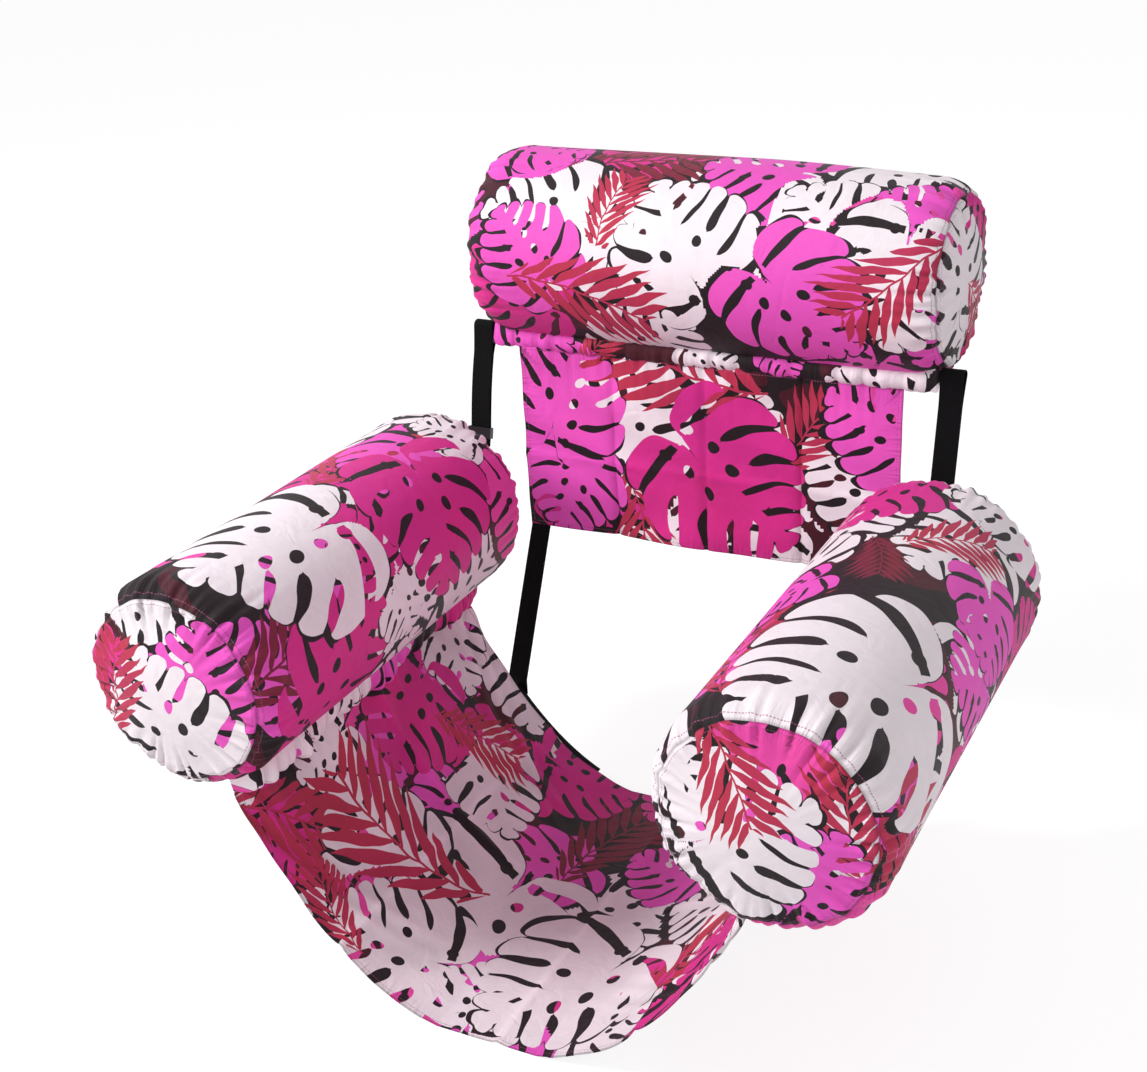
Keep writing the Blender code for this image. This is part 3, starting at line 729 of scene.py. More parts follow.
blackWebbing = makeWebbing("blackWebbing", "070608", 0.0024, 0.00018)
zipTapeCloth = makeWebbing("zipTapeCloth", "d8488f", 0.0012, 0.00008)
zipPlastic = makePlastic("zipPlastic", "e25fa6", 0.32, 0.0015)
sliderPlastic = makePlastic("strapSliderPlastic", "141417", 0.38, 0.0012)
valvePlastic = makePlastic("valvePlastic", "dfe4e6", 0.22, 0.002)
bladderFilm = makePlastic("bladderFilm", "cfdbe2", 0.16, 0.012)


def wear(node, material):
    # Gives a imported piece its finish.
    mesh = nodes[node].data
    mesh.materials.clear()
    mesh.materials.append(material)


def finishPiece(piece, body, slot, material, *replaced):
    piece.data.materials.clear()
    piece.data.materials.append(material)
    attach(piece, body)
    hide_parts(*replaced)


# Rolls: a sleeve with a disc sewn into each end, blown up from inside
roll = {
    "radius": 0.1090,
    "endSeamRadius": 0.0950,
    "shoulder": 0.030,
    "longSeamStandsOut": 0.0018,
    "endDome": 0.012,
    "around": 144,
    "pressure": 5.0,
    "frames": 20,
    "furthestMove": 0.018,
    "wobbles": ((7, 0.0010), (19, 0.0007)),
}
bodies = {
    "left_armrest": {"axis": Vector((0, 1, 0)), "body": "left_armrest"},
    "right_armrest": {"axis": Vector((0, -1, 0)), "body": "right_armrest"},
    "headrest": {"axis": Vector((1, 0, 0)), "body": "backrest"},
}


def rollPlace(name):
    # Z along the roll, X towards its long seam
    axis = bodies[name]["axis"]
    centre = middleOf(name + "_sleeve")
    seam = middleOf(name + "_seam_strip") - centre
    seam = (seam - axis * seam.dot(axis)).normalized()
    matrix = Matrix((seam, axis.cross(seam), axis)).transposed().to_4x4()
    matrix.translation = centre
    return matrix


def lengthAlong(name, part):
    return abs(sizeOf(name + part).dot(bodies[name]["axis"]))


def seamWobble(angle, side):
    return sum(size * np.sin(count * angle + count * side) for count, size in roll["wobbles"])


def shoulderRadius(fromEnd):
    # The roll's radius near an end seam, before it is blown up
    share = np.clip(fromEnd / roll["shoulder"], 0, 1)
    return roll["radius"] + (roll["endSeamRadius"] - roll["radius"]) * (1 - share) ** 2


def makeCover(length):
    around = roll["around"]
    girth = 2 * math.pi * roll["radius"]
    cover = addFlatCloth("cover", around, round(length / girth * around), girth, length)
    flat = readPoints(cover.data)
    angle = math.pi + flat[:, 0] / roll["radius"]
    writePoints(cover.data, aroundAxis(angle, roll["radius"], flat[:, 1]))
    ends = []
    for side in (1, -1):
        deselectAll()
        bpy.ops.mesh.primitive_circle_add(vertices=around, radius=roll["radius"])
        end = bpy.context.object
        editAll((bpy.ops.mesh.fill_grid, {"span": around // 4}))
        if not end.data.uv_layers:
            end.data.uv_layers.new(name="cloth")
        keepFlatPlace(end)
        movePoints(end, Matrix.Translation((0, 0, side * length / 2)))
        ends.append(end)
    for piece, name in ((cover, "sleeve"), (ends[0], "plusEnd"), (ends[1], "minusEnd")):
        piece.data.materials.clear()
        piece.data.materials.append(bpy.data.materials.get(name) or bpy.data.materials.new(name))
    selectOnly(cover, *ends)
    bpy.ops.object.join()
    weldAll(0.0002)
    return cover


def sewnShape(cut, length):
    # Draws the end seams in, domes the ends, and lifts the long seam.
    radial = np.hypot(cut[:, 0], cut[:, 1])
    angle = np.arctan2(cut[:, 1], cut[:, 0])
    side = np.sign(cut[:, 2])
    fromEnd = length / 2 - np.abs(cut[:, 2])
    inEnd = fromEnd < 1e-4
    share = np.clip(radial / roll["radius"], 0, 1)
    wobble = seamWobble(angle, side)
    fade = np.clip(1 - fromEnd / roll["shoulder"], 0, 1)
    onEnd, onSide = share * (roll["endSeamRadius"] + wobble), shoulderRadius(fromEnd) + wobble * fade
    radius = np.where(inEnd, onEnd, onSide)
    lift = np.where(inEnd, roll["endDome"] * (1 - share**2), 0) + seamWobble(angle + 1, side) * fade * share
    sewn = aroundAxis(angle, radius, cut[:, 2] + side * lift)
    onEndSeam = inEnd & (share > 0.999)
    onLongSeam = ~inEnd & (np.abs(angle) < 1e-3)
    sewn[onLongSeam, 0] += roll["longSeamStandsOut"]
    return sewn, onEndSeam | onLongSeam


def blowUp(cover, length):
    cut = readPoints(cover.data)
    sewn, pinned = sewnShape(cut, length)
    cover.shape_key_add(name="sewn")
    flatKey = cover.shape_key_add(name="cut")
    cover.data.shape_keys.key_blocks["sewn"].data.foreach_set("co", sewn.ravel())
    flatKey.data.foreach_set("co", cut.ravel())
    writePoints(cover.data, sewn)
    cover.vertex_groups.new(name="seams").add([int(i) for i in np.nonzero(pinned)[0]], 1.0, "REPLACE")
    modifier = cover.modifiers.new("air", "CLOTH")
    settings = modifier.settings
    settings.quality = 5
    settings.mass = 0.15
    settings.use_pressure = True
    settings.uniform_pressure_force = roll["pressure"]
    settings.effector_weights.gravity = 0
    settings.vertex_group_mass = "seams"
    settings.rest_shape_key = flatKey
    modifier.point_cache.frame_start = 1
    modifier.point_cache.frame_end = roll["frames"]
    for number in range(1, roll["frames"] + 1):
        bpy.context.scene.frame_set(number)
    blown = readPoints(cover.evaluated_get(bpy.context.evaluated_depsgraph_get()).data)
    cover.modifiers.remove(modifier)
    cover.shape_key_clear()
    cover.vertex_groups.clear()
    bpy.context.scene.frame_set(1)
    move = blown - sewn
    far = np.linalg.norm(move, axis=1, keepdims=True)
    move *= np.minimum(1, roll["furthestMove"] / np.maximum(far, 1e-9))
    writePoints(cover.data, sewn + move)


# Gathers where the ends are sewn in, and smaller ones along the long seam
gathers = {
    "around": 16,
    "depth": 0.0088,
    "reach": 0.020,
    "start": 0.0040,
    "weltHeight": 0.0036,
    "weltReach": 0.011,
    "longPitch": 0.0145,
    "longDepth": 0.0018,
    "longReach": 0.012,
}


def gatherRidges(turn, phase):
    # Rounded ridges between sharp valleys, unevenly spaced
    drift = 1.3 * np.sin(turn * 0.131 + phase) + 0.7 * np.sin(turn * 0.31 + 2 * phase)
    first = np.abs(np.sin(turn + drift))
    second = np.abs(np.sin(1.63 * turn + 1.1 * np.sin(turn * 0.23 + phase)))
    return 0.7 * first + 0.45 * second - 0.72


def gatherSeams(piece, length):
    mesh = piece.data
    flat = flatPlaces(piece)
    isSleeve = mesh.materials[0].name == "sleeve"
    radius = roll["radius"]
    if isSleeve:
        angle, away = math.pi + flat[:, 0] / radius, length / 2 - np.abs(flat[:, 1])
        side = np.sign(flat[:, 1])
    else:
        angle, away = np.arctan2(flat[:, 1], flat[:, 0]), radius - np.hypot(flat[:, 0], flat[:, 1])
        side = 1.0 if mesh.materials[0].name == "plusEnd" else -1.0
    away = np.maximum(away, 0)
    wrapped = np.mod(angle, 2 * math.pi)
    reach = gathers["reach"] * (1 + 0.35 * np.sin(5 * wrapped + side) + 0.25 * np.sin(11 * wrapped))
    rise = 1 - np.exp(-away / gathers["start"])
    join = np.clip(np.sin(wrapped / 2) * 8, 0, 1)  # the uneven ridges start and end at the long seam
    ridges = gatherRidges(gathers["around"] * wrapped, side) * join
    fold = ridges * np.exp(-away / reach) * rise
    move = gathers["depth"] * fold
    move += gathers["weltHeight"] * rise * np.exp(-away / gathers["weltReach"])
    if isSleeve:
        toSeam = math.pi * radius - np.abs(flat[:, 0])
        along = gatherRidges(flat[:, 1] * math.pi / gathers["longPitch"], 1.7)
        fade = np.exp(-toSeam / gathers["longReach"]) * np.clip(toSeam / 0.002, 0, 1)
        move += gathers["longDepth"] * along * fade * np.clip(away / 0.01, 0, 1)
    writePoints(mesh, readPoints(mesh) + pointNormals(mesh) * move[:, None])
    # The folds' heights are kept for the material's painted shade in the valleys and painted light on the
    # ridges.
    if isSleeve:
        nearLong = toSeam < away
        along = np.where(nearLong, flat[:, 1], flat[:, 0])
        markSeam(piece, along, np.minimum(toSeam, away), fold * 2)
    else:
        markSeam(piece, angle * radius, away, fold * 2)


def makeRoll(length):
    cover = makeCover(length)
    blowUp(cover, length)
    selectOnly(cover)
    editAll((bpy.ops.mesh.separate, {"type": "MATERIAL"}))
    parts = {piece.data.materials[0].name: piece for piece in bpy.context.selected_objects}
    for piece in parts.values():
        piece.vertex_groups.clear()
        subdivideOnce(piece)
        gatherSeams(piece, length)
        shadeSmooth(piece)
    return parts


sleevePrint = {
    "left_armrest": {
        "bare": [(105, -250, 75)],
        "frondsLow": [
            (18, 83, 87, 85, "crimson"), (166, -225, 103, 80, "oxblood"), (-160, 20, 30, 90, "crimson"),
        ],
        "leavesMid": [
            (59, -35, -149, 65, "pale"), (67, 131, -95, 105, "pink"), (233, -147, 122, 125, "magenta"),
            (127, -37, 179, 65, "magenta"), (80, 215, -158, 60, "pale"), (-80, -120, 20, 105, "pale"),
            (-230, 130, 200, 110, "magenta"),
        ],
        "leavesTop": [
            (192, -18, 22, 60, "pale"), (111, 99, -19, 130, "magenta"), (-70, 170, 100, 95, "pale"),
            (70, -93, -102, 150, "pale"),
        ],
        "frondsTop": [(-200, -120, 120, 95, "crimson")],
    },
    "right_armrest": {
        "bare": [(30, -30, 45), (-20, 255, 65)],
        "frondsLow": [
            (105, 140, -80, 90, "crimson"), (-96, 250, -133, 90, "crimson"),
            (190, -60, 40, 90, "crimson"),
        ],
        "leavesMid": [
            (61, -222, 68, 100, "magenta"), (-71, -238, 18, 85, "pale"), (-133, -11, 59, 85, "pink"),
            (160, 30, 60, 95, "pink"), (-220, 60, 160, 110, "magenta"), (120, -55, -60, 85, "pale"),
            (90, 10, 30, 60, "pink"),
        ],
        "leavesTop": [
            (215, 160, 200, 95, "magenta"), (185, -150, 20, 100, "pale"), (-90, -78, 127, 80, "pink"),
            (-41, 143, 52, 166, "pale"),
        ],
        "frondsTop": [(29, -50, 111, 44, "oxblood"), (-15, -120, -135, 56, "crimson")],
    },
    "headrest": {
        "bare": [(285, 10, 60), (165, 85, 40)],
        "frondsLow": [(80, -95, 104, 85, "oxblood"), (-120, 50, 50, 90, "crimson")],
        "leavesMid": [
            (167, -150, -92, 105, "pale"), (79, 85, -91, 100, "pink"), (159, 172, -126, 90, "pale"),
            (183, 249, -12, 115, "pale"), (60, -215, 90, 70, "pink"), (-60, -130, 30, 105, "magenta"),
        ],
        "leavesTop": [
            (205, 4, -150, 112, "pale"), (220, -180, -138, 85, "pink"), (135, 262, -114, 80, "pink"),
            (-50, 80, 60, 100, "pale"), (-190, -20, 220, 105, "pink"), (185, 236, -6, 110, "pale"),
            (232, 112, 51, 110, "pink"),
        ],
        "frondsTop": [
            (248, -130, 75, 85, "crimson"), (160, -100, 169, 50, "crimson"),
            (205, 232, -45, 72, "crimson"),
        ],
    },
}
endPrint = {
    "front": {
        "leavesMid": [(11, -48, -163, 100, "pink")],
        "leavesTop": [(60, 14, 179, 125, "pale")],
        "frondsTop": [(-3, 80, -151, 70, "crimson")],
    },
    "rightFront": {
        "frondsLow": [(-41, 75, -158, 65, "crimson")],
        "leavesMid": [(43, 60, 172, 84, "pink")],
        "leavesTop": [(20, -75, 120, 75, "pale"), (27, -36, 134, 118, "pale")],
        "frondsTop": [(-55, -50, 45, 68, "crimson")],
    },
    "other": {
        "leavesTop": [(15, -40, 200, 110, "pale")],
        "frondsTop": [(30, 50, 70, 75, "crimson")],
    },
}


slackEnd = {"drop": 0.010, "from": 0.04, "to": 0.27}  # the headrest's right end is less full on top


def slacken(piece, name):
    if name != "headrest":
        return
    points = readPoints(piece.data)
    centre = middleOf(name + "_sleeve")
    along = np.clip((points[:, 0] - slackEnd["from"]) / (slackEnd["to"] - slackEnd["from"]), 0, 1)
    above = np.clip((points[:, 2] - centre.z) / roll["radius"], 0, 1)
    points[:, 2] -= slackEnd["drop"] * along**1.5 * above
    writePoints(piece.data, points)


capLift = 0.0036  # leaves room over the valve plug when it is pulled


frontCaps = {"left_armrest_far_end_cap": "front", "right_armrest_far_end_cap": "rightFront"}


def finishRoll(name, parts, first):
    place = rollPlace(name)
    body = bodies[name]["body"]
    width = lengthAlong(name, "_sleeve")
    for part, piece in parts.items():
        if part != "sleeve":
            points = readPoints(piece.data)
            share = np.clip(1 - (np.hypot(points[:, 0], points[:, 1]) / roll["endSeamRadius"]) ** 2, 0, 1)
            points[:, 2] += np.sign(points[:, 2]) * capLift * share**2
            writePoints(piece.data, points)
        movePoints(piece, place)
        slacken(piece, name)
        middle = readPoints(piece.data).mean(axis=0)
        if part == "sleeve":
            printLeaves(piece, sleevePrint[name], 2 * math.pi * roll["radius"], width, first)
            piece.name = name + "Sleeve"
            finishPiece(piece, body, "printed_cover_cloth", printedCover, name + "_sleeve")
        else:
            node = min(
                (name + "_valve_end_cap", name + "_far_end_cap"),
                key=lambda cap: (middleOf(cap) - Vector(middle)).length,
            )
            layout = endPrint[frontCaps.get(node, "other")]
            printLeaves(piece, layout, 2.2 * roll["radius"], 2.2 * roll["radius"], first + len(part))
            piece.name = name + ("ValveEnd" if node.endswith("valve_end_cap") else "FarEnd")
            finishPiece(piece, body, "end_cap_cloth", printedCover, node)
        piece.data.name = piece.name


def copyParts(parts):
    copies = {}
    for part, piece in parts.items():
        copy = piece.copy()
        copy.data = piece.data.copy()
        bpy.context.scene.collection.objects.link(copy)
        copies[part] = copy
    return copies


armrestParts = makeRoll(sizeOf("left_armrest_sleeve").y)
print("armrest cover blown up")
finishRoll("right_armrest", copyParts(armrestParts), 3)
finishRoll("left_armrest", armrestParts, 0)
finishRoll("headrest", makeRoll(sizeOf("headrest_sleeve").x), 5)
print("rolls done")


# Strips of cloth that stand out of the rolls' long seams
strip = {
    "columns": 28,
    "pitch": 0.0024,
    "flatWidth": 0.05,
    "weldReach": 0.00002,
    "thickness": 0.0014,
    "puff": {"left_armrest": 0.0150, "right_armrest": 0.0150, "headrest": 0.0050},
    "reachRound": {"left_armrest": 16, "right_armrest": 16, "headrest": 5},  # degrees towards the seat
    "gatherPitch": 0.027,
    "rimWave": 0.0026,
    "tuck": 0.0016,
    "endTaper": 0.006,
}
stripPrint = {
    "left_armrest": {
        "bare": [(0, 100, 60)],
        "leavesMid": [(30, 30, 160, 60, "pink"), (0, 170, 80, 70, "magenta")],
        "leavesTop": [(15, -190, 75, 85, "pale"), (10, -100, 95, 70, "pale")],
    },
    "right_armrest": {
        "bare": [(0, -80, 60)],
        "leavesTop": [(0, 150, -85, 90, "pale")],
    },
    "headrest": {
        "bare": [(0, -60, 70), (0, 100, 60)],
        "leavesTop": [
            (0, -220, 70, 70, "pink"), (20, 0, 110, 50, "pale"), (30, 90, 150, 40, "pink"),
            (-10, 210, -80, 70, "pale"),
        ],
        "frondsTop": [(10, -130, 40, 40, "crimson")],
    },
}


def addSeamStrip(name):
    # Flat on its outer side, puffed and gathered on the side towards the seat
    place = rollPlace(name)
    node = name + "_seam_strip"
    axis = bodies[name]["axis"]
    length, sleeveLength = lengthAlong(name, "_seam_strip"), lengthAlong(name, "_sleeve")
    reach = max((place.inverted() @ vertex.co).x for vertex in nodes[node].data.vertices)
    rows = round(length / strip["pitch"])
    piece = addFlatCloth(name + "SeamStrip", strip["columns"], rows, strip["flatWidth"], length)
    flat = readPoints(piece.data)
    share, t = flat[:, 0] / strip["flatWidth"] * 2, flat[:, 1]
    inner = shoulderRadius(sleeveLength / 2 - np.abs(t)) - strip["tuck"]
    ridges = gatherRidges(t * math.pi / strip["gatherPitch"], 0.6)
    front = 0.5 - t / length * axis.y if abs(axis.y) > 0.5 else 0.6  # 1 at the armrest's front end
    taper = np.sqrt(np.clip((length / 2 - np.abs(t)) / strip["endTaper"], 0, 1))
    rim = reach + strip["rimWave"] * (ridges + 0.75) * taper
    half = strip["thickness"] / 2 * taper
    # The outer side runs straight from the rim to the roll.
    flatX = inner + (1 - np.abs(share) ** 1.6) * (rim - inner)
    flatY = half * np.clip((1 - np.abs(share) ** 8) * 9, 0, 1)
    # The side towards the seat swells, and meets the roll further round.
    turn = math.radians(strip["reachRound"][name]) * taper
    way = share / (1 - 2 / strip["columns"])
    lineX, lineY = inner * np.cos(turn) - rim, -inner * np.sin(turn)
    long = np.hypot(lineX, lineY)
    swell = (0.7 + 0.5 * front) * (1 + 0.25 * np.sin(t * 37 + 1) + 0.15 * np.sin(t * 83))
    puff = strip["puff"][name] * swell * (0.9 + 0.5 * ridges) * taper
    puff *= np.sin(np.clip(way, 0, 1) * math.pi) ** 0.8
    puffX = rim + lineX * way - lineY / long * puff
    puffY = lineY * way + lineX / long * puff - half * np.clip(way * 5, 0, 1)
    isPuff = (share > 1e-6) & (share < 0.999)
    x = np.where(isPuff, puffX, flatX)
    y = np.where(isPuff, puffY, np.where(np.abs(share) < 1e-6, 0, flatY))
    writePoints(piece.data, np.stack([x, y, t], 1))
    selectOnly(piece)
    weldAll(strip["weldReach"])
    movePoints(piece, place)
    printLeaves(piece, stripPrint[name], 0.1, length, 2)
    flat = flatPlaces(piece)
    # The gathers' heights on the side towards the seat give the material's painted shade in their valleys
    # and painted light on their ridges.
    folds = gatherRidges(flat[:, 1] * math.pi / strip["gatherPitch"], 0.6)
    markSeam(piece, flat[:, 1], 0.01 + 0 * flat[:, 0], folds * 1.5 * (flat[:, 0] > 0))
    shadeSmooth(piece, 60)
    finishPiece(piece, bodies[name]["body"], "seam_cloth", printedCover, node)
    return piece


for name in bodies:
    addSeamStrip(name)
print("seam strips done")


# Seat: one cloth slung between the armrests' strips, its middle on the floor
sling = {
    "curvePower": 2.4,
    "flatCut": 0.005,
    "thickness": 0.0010,
    "columns": 190,
    "rows": 124,
    "foldDepth": 0.0034,
    "folds": 3,
    "hemWidth": 0.010,
    "hemDepth": 0.0007,
    "gatherDepth": 0.0030,
    "gatherLength": 0.0170,
    "creaseDepth": 0.0042,
    "wrinkleDepth": 0.0026,
}
slingPrint = {
    "bare": [(-100, 85, 60), (-30, 130, 50), (-300, -140, 50)],
    "leavesLow": [
        (-191, 11, -86, 80, "pink"), (-314, -208, 7, 70, "magenta"), (-65, 50, -143, 85, "pink"),
    ],
    "frondsLow": [
        (-316, -185, 45, 85, "crimson"), (-41, 104, 75, 80, "oxblood"), (190, -110, 30, 105, "crimson"),
        (250, 90, 100, 95, "crimson"),
    ],
    "leavesMid": [
        (-94, -45, -100, 150, "pale"), (-344, -80, -82, 70, "pale"), (-350, 170, -10, 80, "pale"),
        (-122, 198, 17, 90, "magenta"), (75, 88, 166, 80, "pink"), (260, 0, 20, 100, "magenta"),
        (-30, -195, 100, 85, "pale"), (110, -190, 20, 80, "pale"),
    ],
    "leavesTop": [
        (-201, 101, -34, 95, "pale"), (-322, 70, -65, 110, "magenta"), (-202, -101, 175, 115, "pale"),
        (-120, -165, -160, 110, "pale"), (190, 150, 40, 95, "pale"), (280, -150, 150, 95, "magenta"),
        (55, -105, -125, 140, "pale"),
    ],
    "frondsTop": [
        (-206, -81, -166, 110, "crimson"), (-240, 120, 34, 65, "crimson"),
        (-215, -205, 164, 55, "crimson"),
    ],
}


def slingCurve():
    # Half of the hanging curve from the middle out: the way along it, and x and z
    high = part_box("seat_sling")[1]
    halfWidth = high.x - sling["thickness"] * 0.45
    top = high.z - sling["thickness"] * 0.25
    x = np.linspace(0, halfWidth, 600)
    drop = top - sling["thickness"] / 2 + sling["flatCut"]
    z = np.maximum(top - drop * (1 - (x / halfWidth) ** sling["curvePower"]), sling["thickness"] / 2)
    way = np.concatenate([[0], np.cumsum(np.hypot(np.diff(x), np.diff(z)))])
    return way, x, z


def onSling(s, lift):
    way, x, z = slingCurve()
    distance = np.abs(s)
    slopeX, slopeZ = np.gradient(x, way), np.gradient(z, way)
    side = np.where(s < 0, -1, 1)
    placeX = np.interp(distance, way, x) - lift * np.interp(distance, way, slopeZ)
    placeZ = np.interp(distance, way, z) + lift * np.interp(distance, way, slopeX)
    return side * placeX, placeZ


def crease(distance, depth, width):
    return depth * np.exp(-np.abs(distance) / width)


def slingLift(s, t, halfWay, halfDepth):
    share, depthShare = np.abs(s) / halfWay, t / halfDepth
    free = np.clip((share - 0.16) * 8, 0, 1)  # the middle lies flat on the floor
    swell = share**2 * (1 - share**4)
    lift = sling["foldDepth"] * swell * np.cos(math.pi * sling["folds"] * (1 - depthShare))
    nearSeam = np.exp(-(1 - share) * halfWay / 0.026) * np.clip((1 - share) * halfWay / 0.004, 0, 1)
    lift += sling["gatherDepth"] * nearSeam * gatherRidges(t * math.pi / sling["gatherLength"], 0.4)
    # Pulls run from the corners into the middle.
    for corner in (-1, 1):
        slant = t - corner * (halfDepth - 0.35 * (halfWay - np.abs(s)))
        lift += sling["wrinkleDepth"] * free * np.exp(-((slant / 0.03) ** 2)) * np.sin(slant * 240) * share
    fine = sling["wrinkleDepth"] * 0.6 * free
    lift += fine * np.sin(s * 61 + 3 * np.sin(t * 17)) * np.sin(t * 23 + s * 9)
    lift += crease(np.abs(s) - 0.49 * halfWay, sling["creaseDepth"], 0.006) * free
    lift += crease(t - 0.02, sling["creaseDepth"], 0.005) * free
    lift += crease(s - 0.012, sling["creaseDepth"] * 0.8, 0.005)
    return np.maximum(lift, -0.004 * free)


def addSling():
    low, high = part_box("seat_sling")
    way = slingCurve()[0]
    halfWay, halfDepth = way[-1], (high.y - low.y) / 2
    piece = addFlatCloth("seatSling", sling["columns"], sling["rows"], 2 * halfWay, 2 * halfDepth)
    flat = readPoints(piece.data)
    s, t = flat[:, 0], flat[:, 1]
    x, z = onSling(s, slingLift(s, t, halfWay, halfDepth))
    writePoints(piece.data, np.stack([x, (low.y + high.y) / 2 + t, z], 1))
    thicken(piece, sling["thickness"])
    # Hems: the cloth is turned under along the front and the back edge.
    points = readPoints(piece.data)
    mesh = piece.data
    normals = pointNormals(mesh)
    fromEdge = halfDepth - np.abs(points[:, 1] - (low.y + high.y) / 2)
    outside = normals[:, 2] < 0
    turned = np.clip((sling["hemWidth"] - fromEdge) / 0.002, 0, 1) * outside * (points[:, 2] > 0.004)
    writePoints(mesh, points + normals * (turned * sling["hemDepth"])[:, None])
    printLeaves(piece, slingPrint, 2 * halfWay, 2 * halfDepth, 1)
    markHems(piece, halfWay, halfDepth, lambda s, t: slingLift(s, t, halfWay, halfDepth))
    shadeSmooth(piece, 60)
    finishPiece(piece, "seat", "printed_cover_cloth", printedSeatPaintedShade, "seat_sling")


# Back panel: a double cloth that hangs from the headrest's strip, creased from the packing
panel = {
    "columns": 116,
    "rows": 60,
    "thickness": 0.0016,
    "creaseDepth": 0.006,
    "foldDepth": 0.0034,
    "gatherDepth": 0.0030,
    "gatherLength": 0.019,
    "wrinkleDepth": 0.0021,
    "tuck": 0.0045,
}
panelPrint = {
    "bare": [(105, 92, 90)],
    "leavesLow": [(-105, 25, 64, 118, "pale"), (200, -5, 152, 95, "pale")],
    "frondsLow": [
        (-28, 103, 165, 105, "crimson"), (-81, -90, -80, 70, "crimson"), (112, 34, 59, 60, "crimson"),
    ],
    "leavesMid": [(-166, -43, -108, 85, "pink")],
    "leavesTop": [(-183, 39, 72, 110, "pink"), (225, 61, 156, 95, "pink"), (5, -11, -40, 140, "magenta")],
}


def panelFolds(x, z, width, height):
    # Gathers below the headrest's strip, creases from the packing, and soft dents
    fromTop = height / 2 - z
    ridges = gatherRidges(x * math.pi / panel["gatherLength"], 2.1)
    lift = panel["gatherDepth"] * ridges * np.exp(-fromTop / 0.032) * np.clip(fromTop / 0.006, 0, 1)
    for place in (-0.5, 0, 0.5):
        lift -= crease(x - place * width / 2, panel["foldDepth"], 0.004)
    lift += crease(z + 0.02, panel["foldDepth"] * 0.6, 0.004)
    return lift - panel["wrinkleDepth"] * np.sin(x * 33 + 2 * np.sin(z * 29)) * np.sin(z * 41 + x * 13)


def addPanel():
    low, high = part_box("back_panel")
    width, height = high.x - low.x, high.z - low.z
    middle = (low + high) / 2
    flatY = low.y + panel["thickness"] / 2
    piece = addFlatCloth("backPanel", panel["columns"], panel["rows"], width, height)
    flat = readPoints(piece.data)
    x, z = flat[:, 0], flat[:, 1]
    across, hang = np.abs(x) / (width / 2), 0.5 - z / height
    y = flatY + panel["creaseDepth"] * (1 - np.abs(2 * across - 1)) * hang
    y -= panelFolds(x, z, width, height)
    up = middle.z + z + panel["tuck"] * np.exp(-(height / 2 - z) / 0.010)
    writePoints(piece.data, np.stack([x, y, up], 1))
    thicken(piece, panel["thickness"])
    printLeaves(piece, panelPrint, width, height, 4)
    markHems(piece, width / 2, height / 2, lambda x, z: panelFolds(x, z, width, height))
    shadeSmooth(piece, 60)
    finishPiece(piece, "backrest", "printed_cover_cloth", printedPanel, "back_panel")


addSling()
addPanel()
print("seat and back panel done")


# Webbing straps
webbing = {"thickness": 0.0014, "columns": 8, "pitch": 0.003, "plySpacing": 0.0034}


def resample(path, pitch):
    # Even steps along a path of points
    path = np.array(path, float)
    way = np.concatenate([[0], np.cumsum(np.linalg.norm(np.diff(path, axis=0), axis=1))])
    even = np.linspace(0, way[-1], max(round(way[-1] / pitch), 2) + 1)
    return np.stack([np.interp(even, way, path[:, axis]) for axis in range(path.shape[1])], 1), way[-1]


def addStrap(name, path, width, across, wave=0.0):
    # A flat tape whose middle follows a path, with its width along one direction
    path, length = resample(path, webbing["pitch"])
    rows = len(path) - 1
    piece = addFlatCloth(name, webbing["columns"], rows, width, length)
    flat = readPoints(piece.data)
    along = np.clip(np.rint((flat[:, 1] / length + 0.5) * rows).astype(int), 0, rows)
    across = np.array(across, float)
    ahead = np.gradient(path, axis=0)
    outward = np.cross(ahead, across)
    outward /= np.linalg.norm(outward, axis=1, keepdims=True)
    cup = wave * np.cos(flat[:, 0] / width * math.pi) * np.sin(flat[:, 1] * 70)
    points = path[along] + across * flat[:, :1] + outward[along] * cup[:, None]
    writePoints(piece.data, points)
    thicken(piece, webbing["thickness"])
    sharp = {"limit_method": "ANGLE", "angle_limit": math.radians(60)}
    applyModifier(piece, "BEVEL", width=0.0004, segments=1, **sharp)
    shadeSmooth(piece, 40)
    return piece


def bezier(start, startHandle, endHandle, end, steps):
    t = np.linspace(0, 1, steps + 1)[:, None]
    s = 1 - t
    return s**3 * start + 3 * s**2 * t * startHandle + 3 * s * t**2 * endHandle + t**3 * end


upperStrap = {
    "behindArmrest": 0.0135,
    "bendDrop": 0.065,
    "bendReach": 0.032,
    "topClearance": -0.005,
    "topSpread": 0.0065,
    "openLength": 0.034,
    "sliderShare": 0.52,
    "tail": 0.022,
    "bow": {"left": (-0.0015, -0.0012, 0), "right": (0, 0, 0)},
}


def openAt(fromTop):
    return upperStrap["topSpread"] * np.clip(1 - fromTop / upperStrap["openLength"], 0, 1) ** 1.3


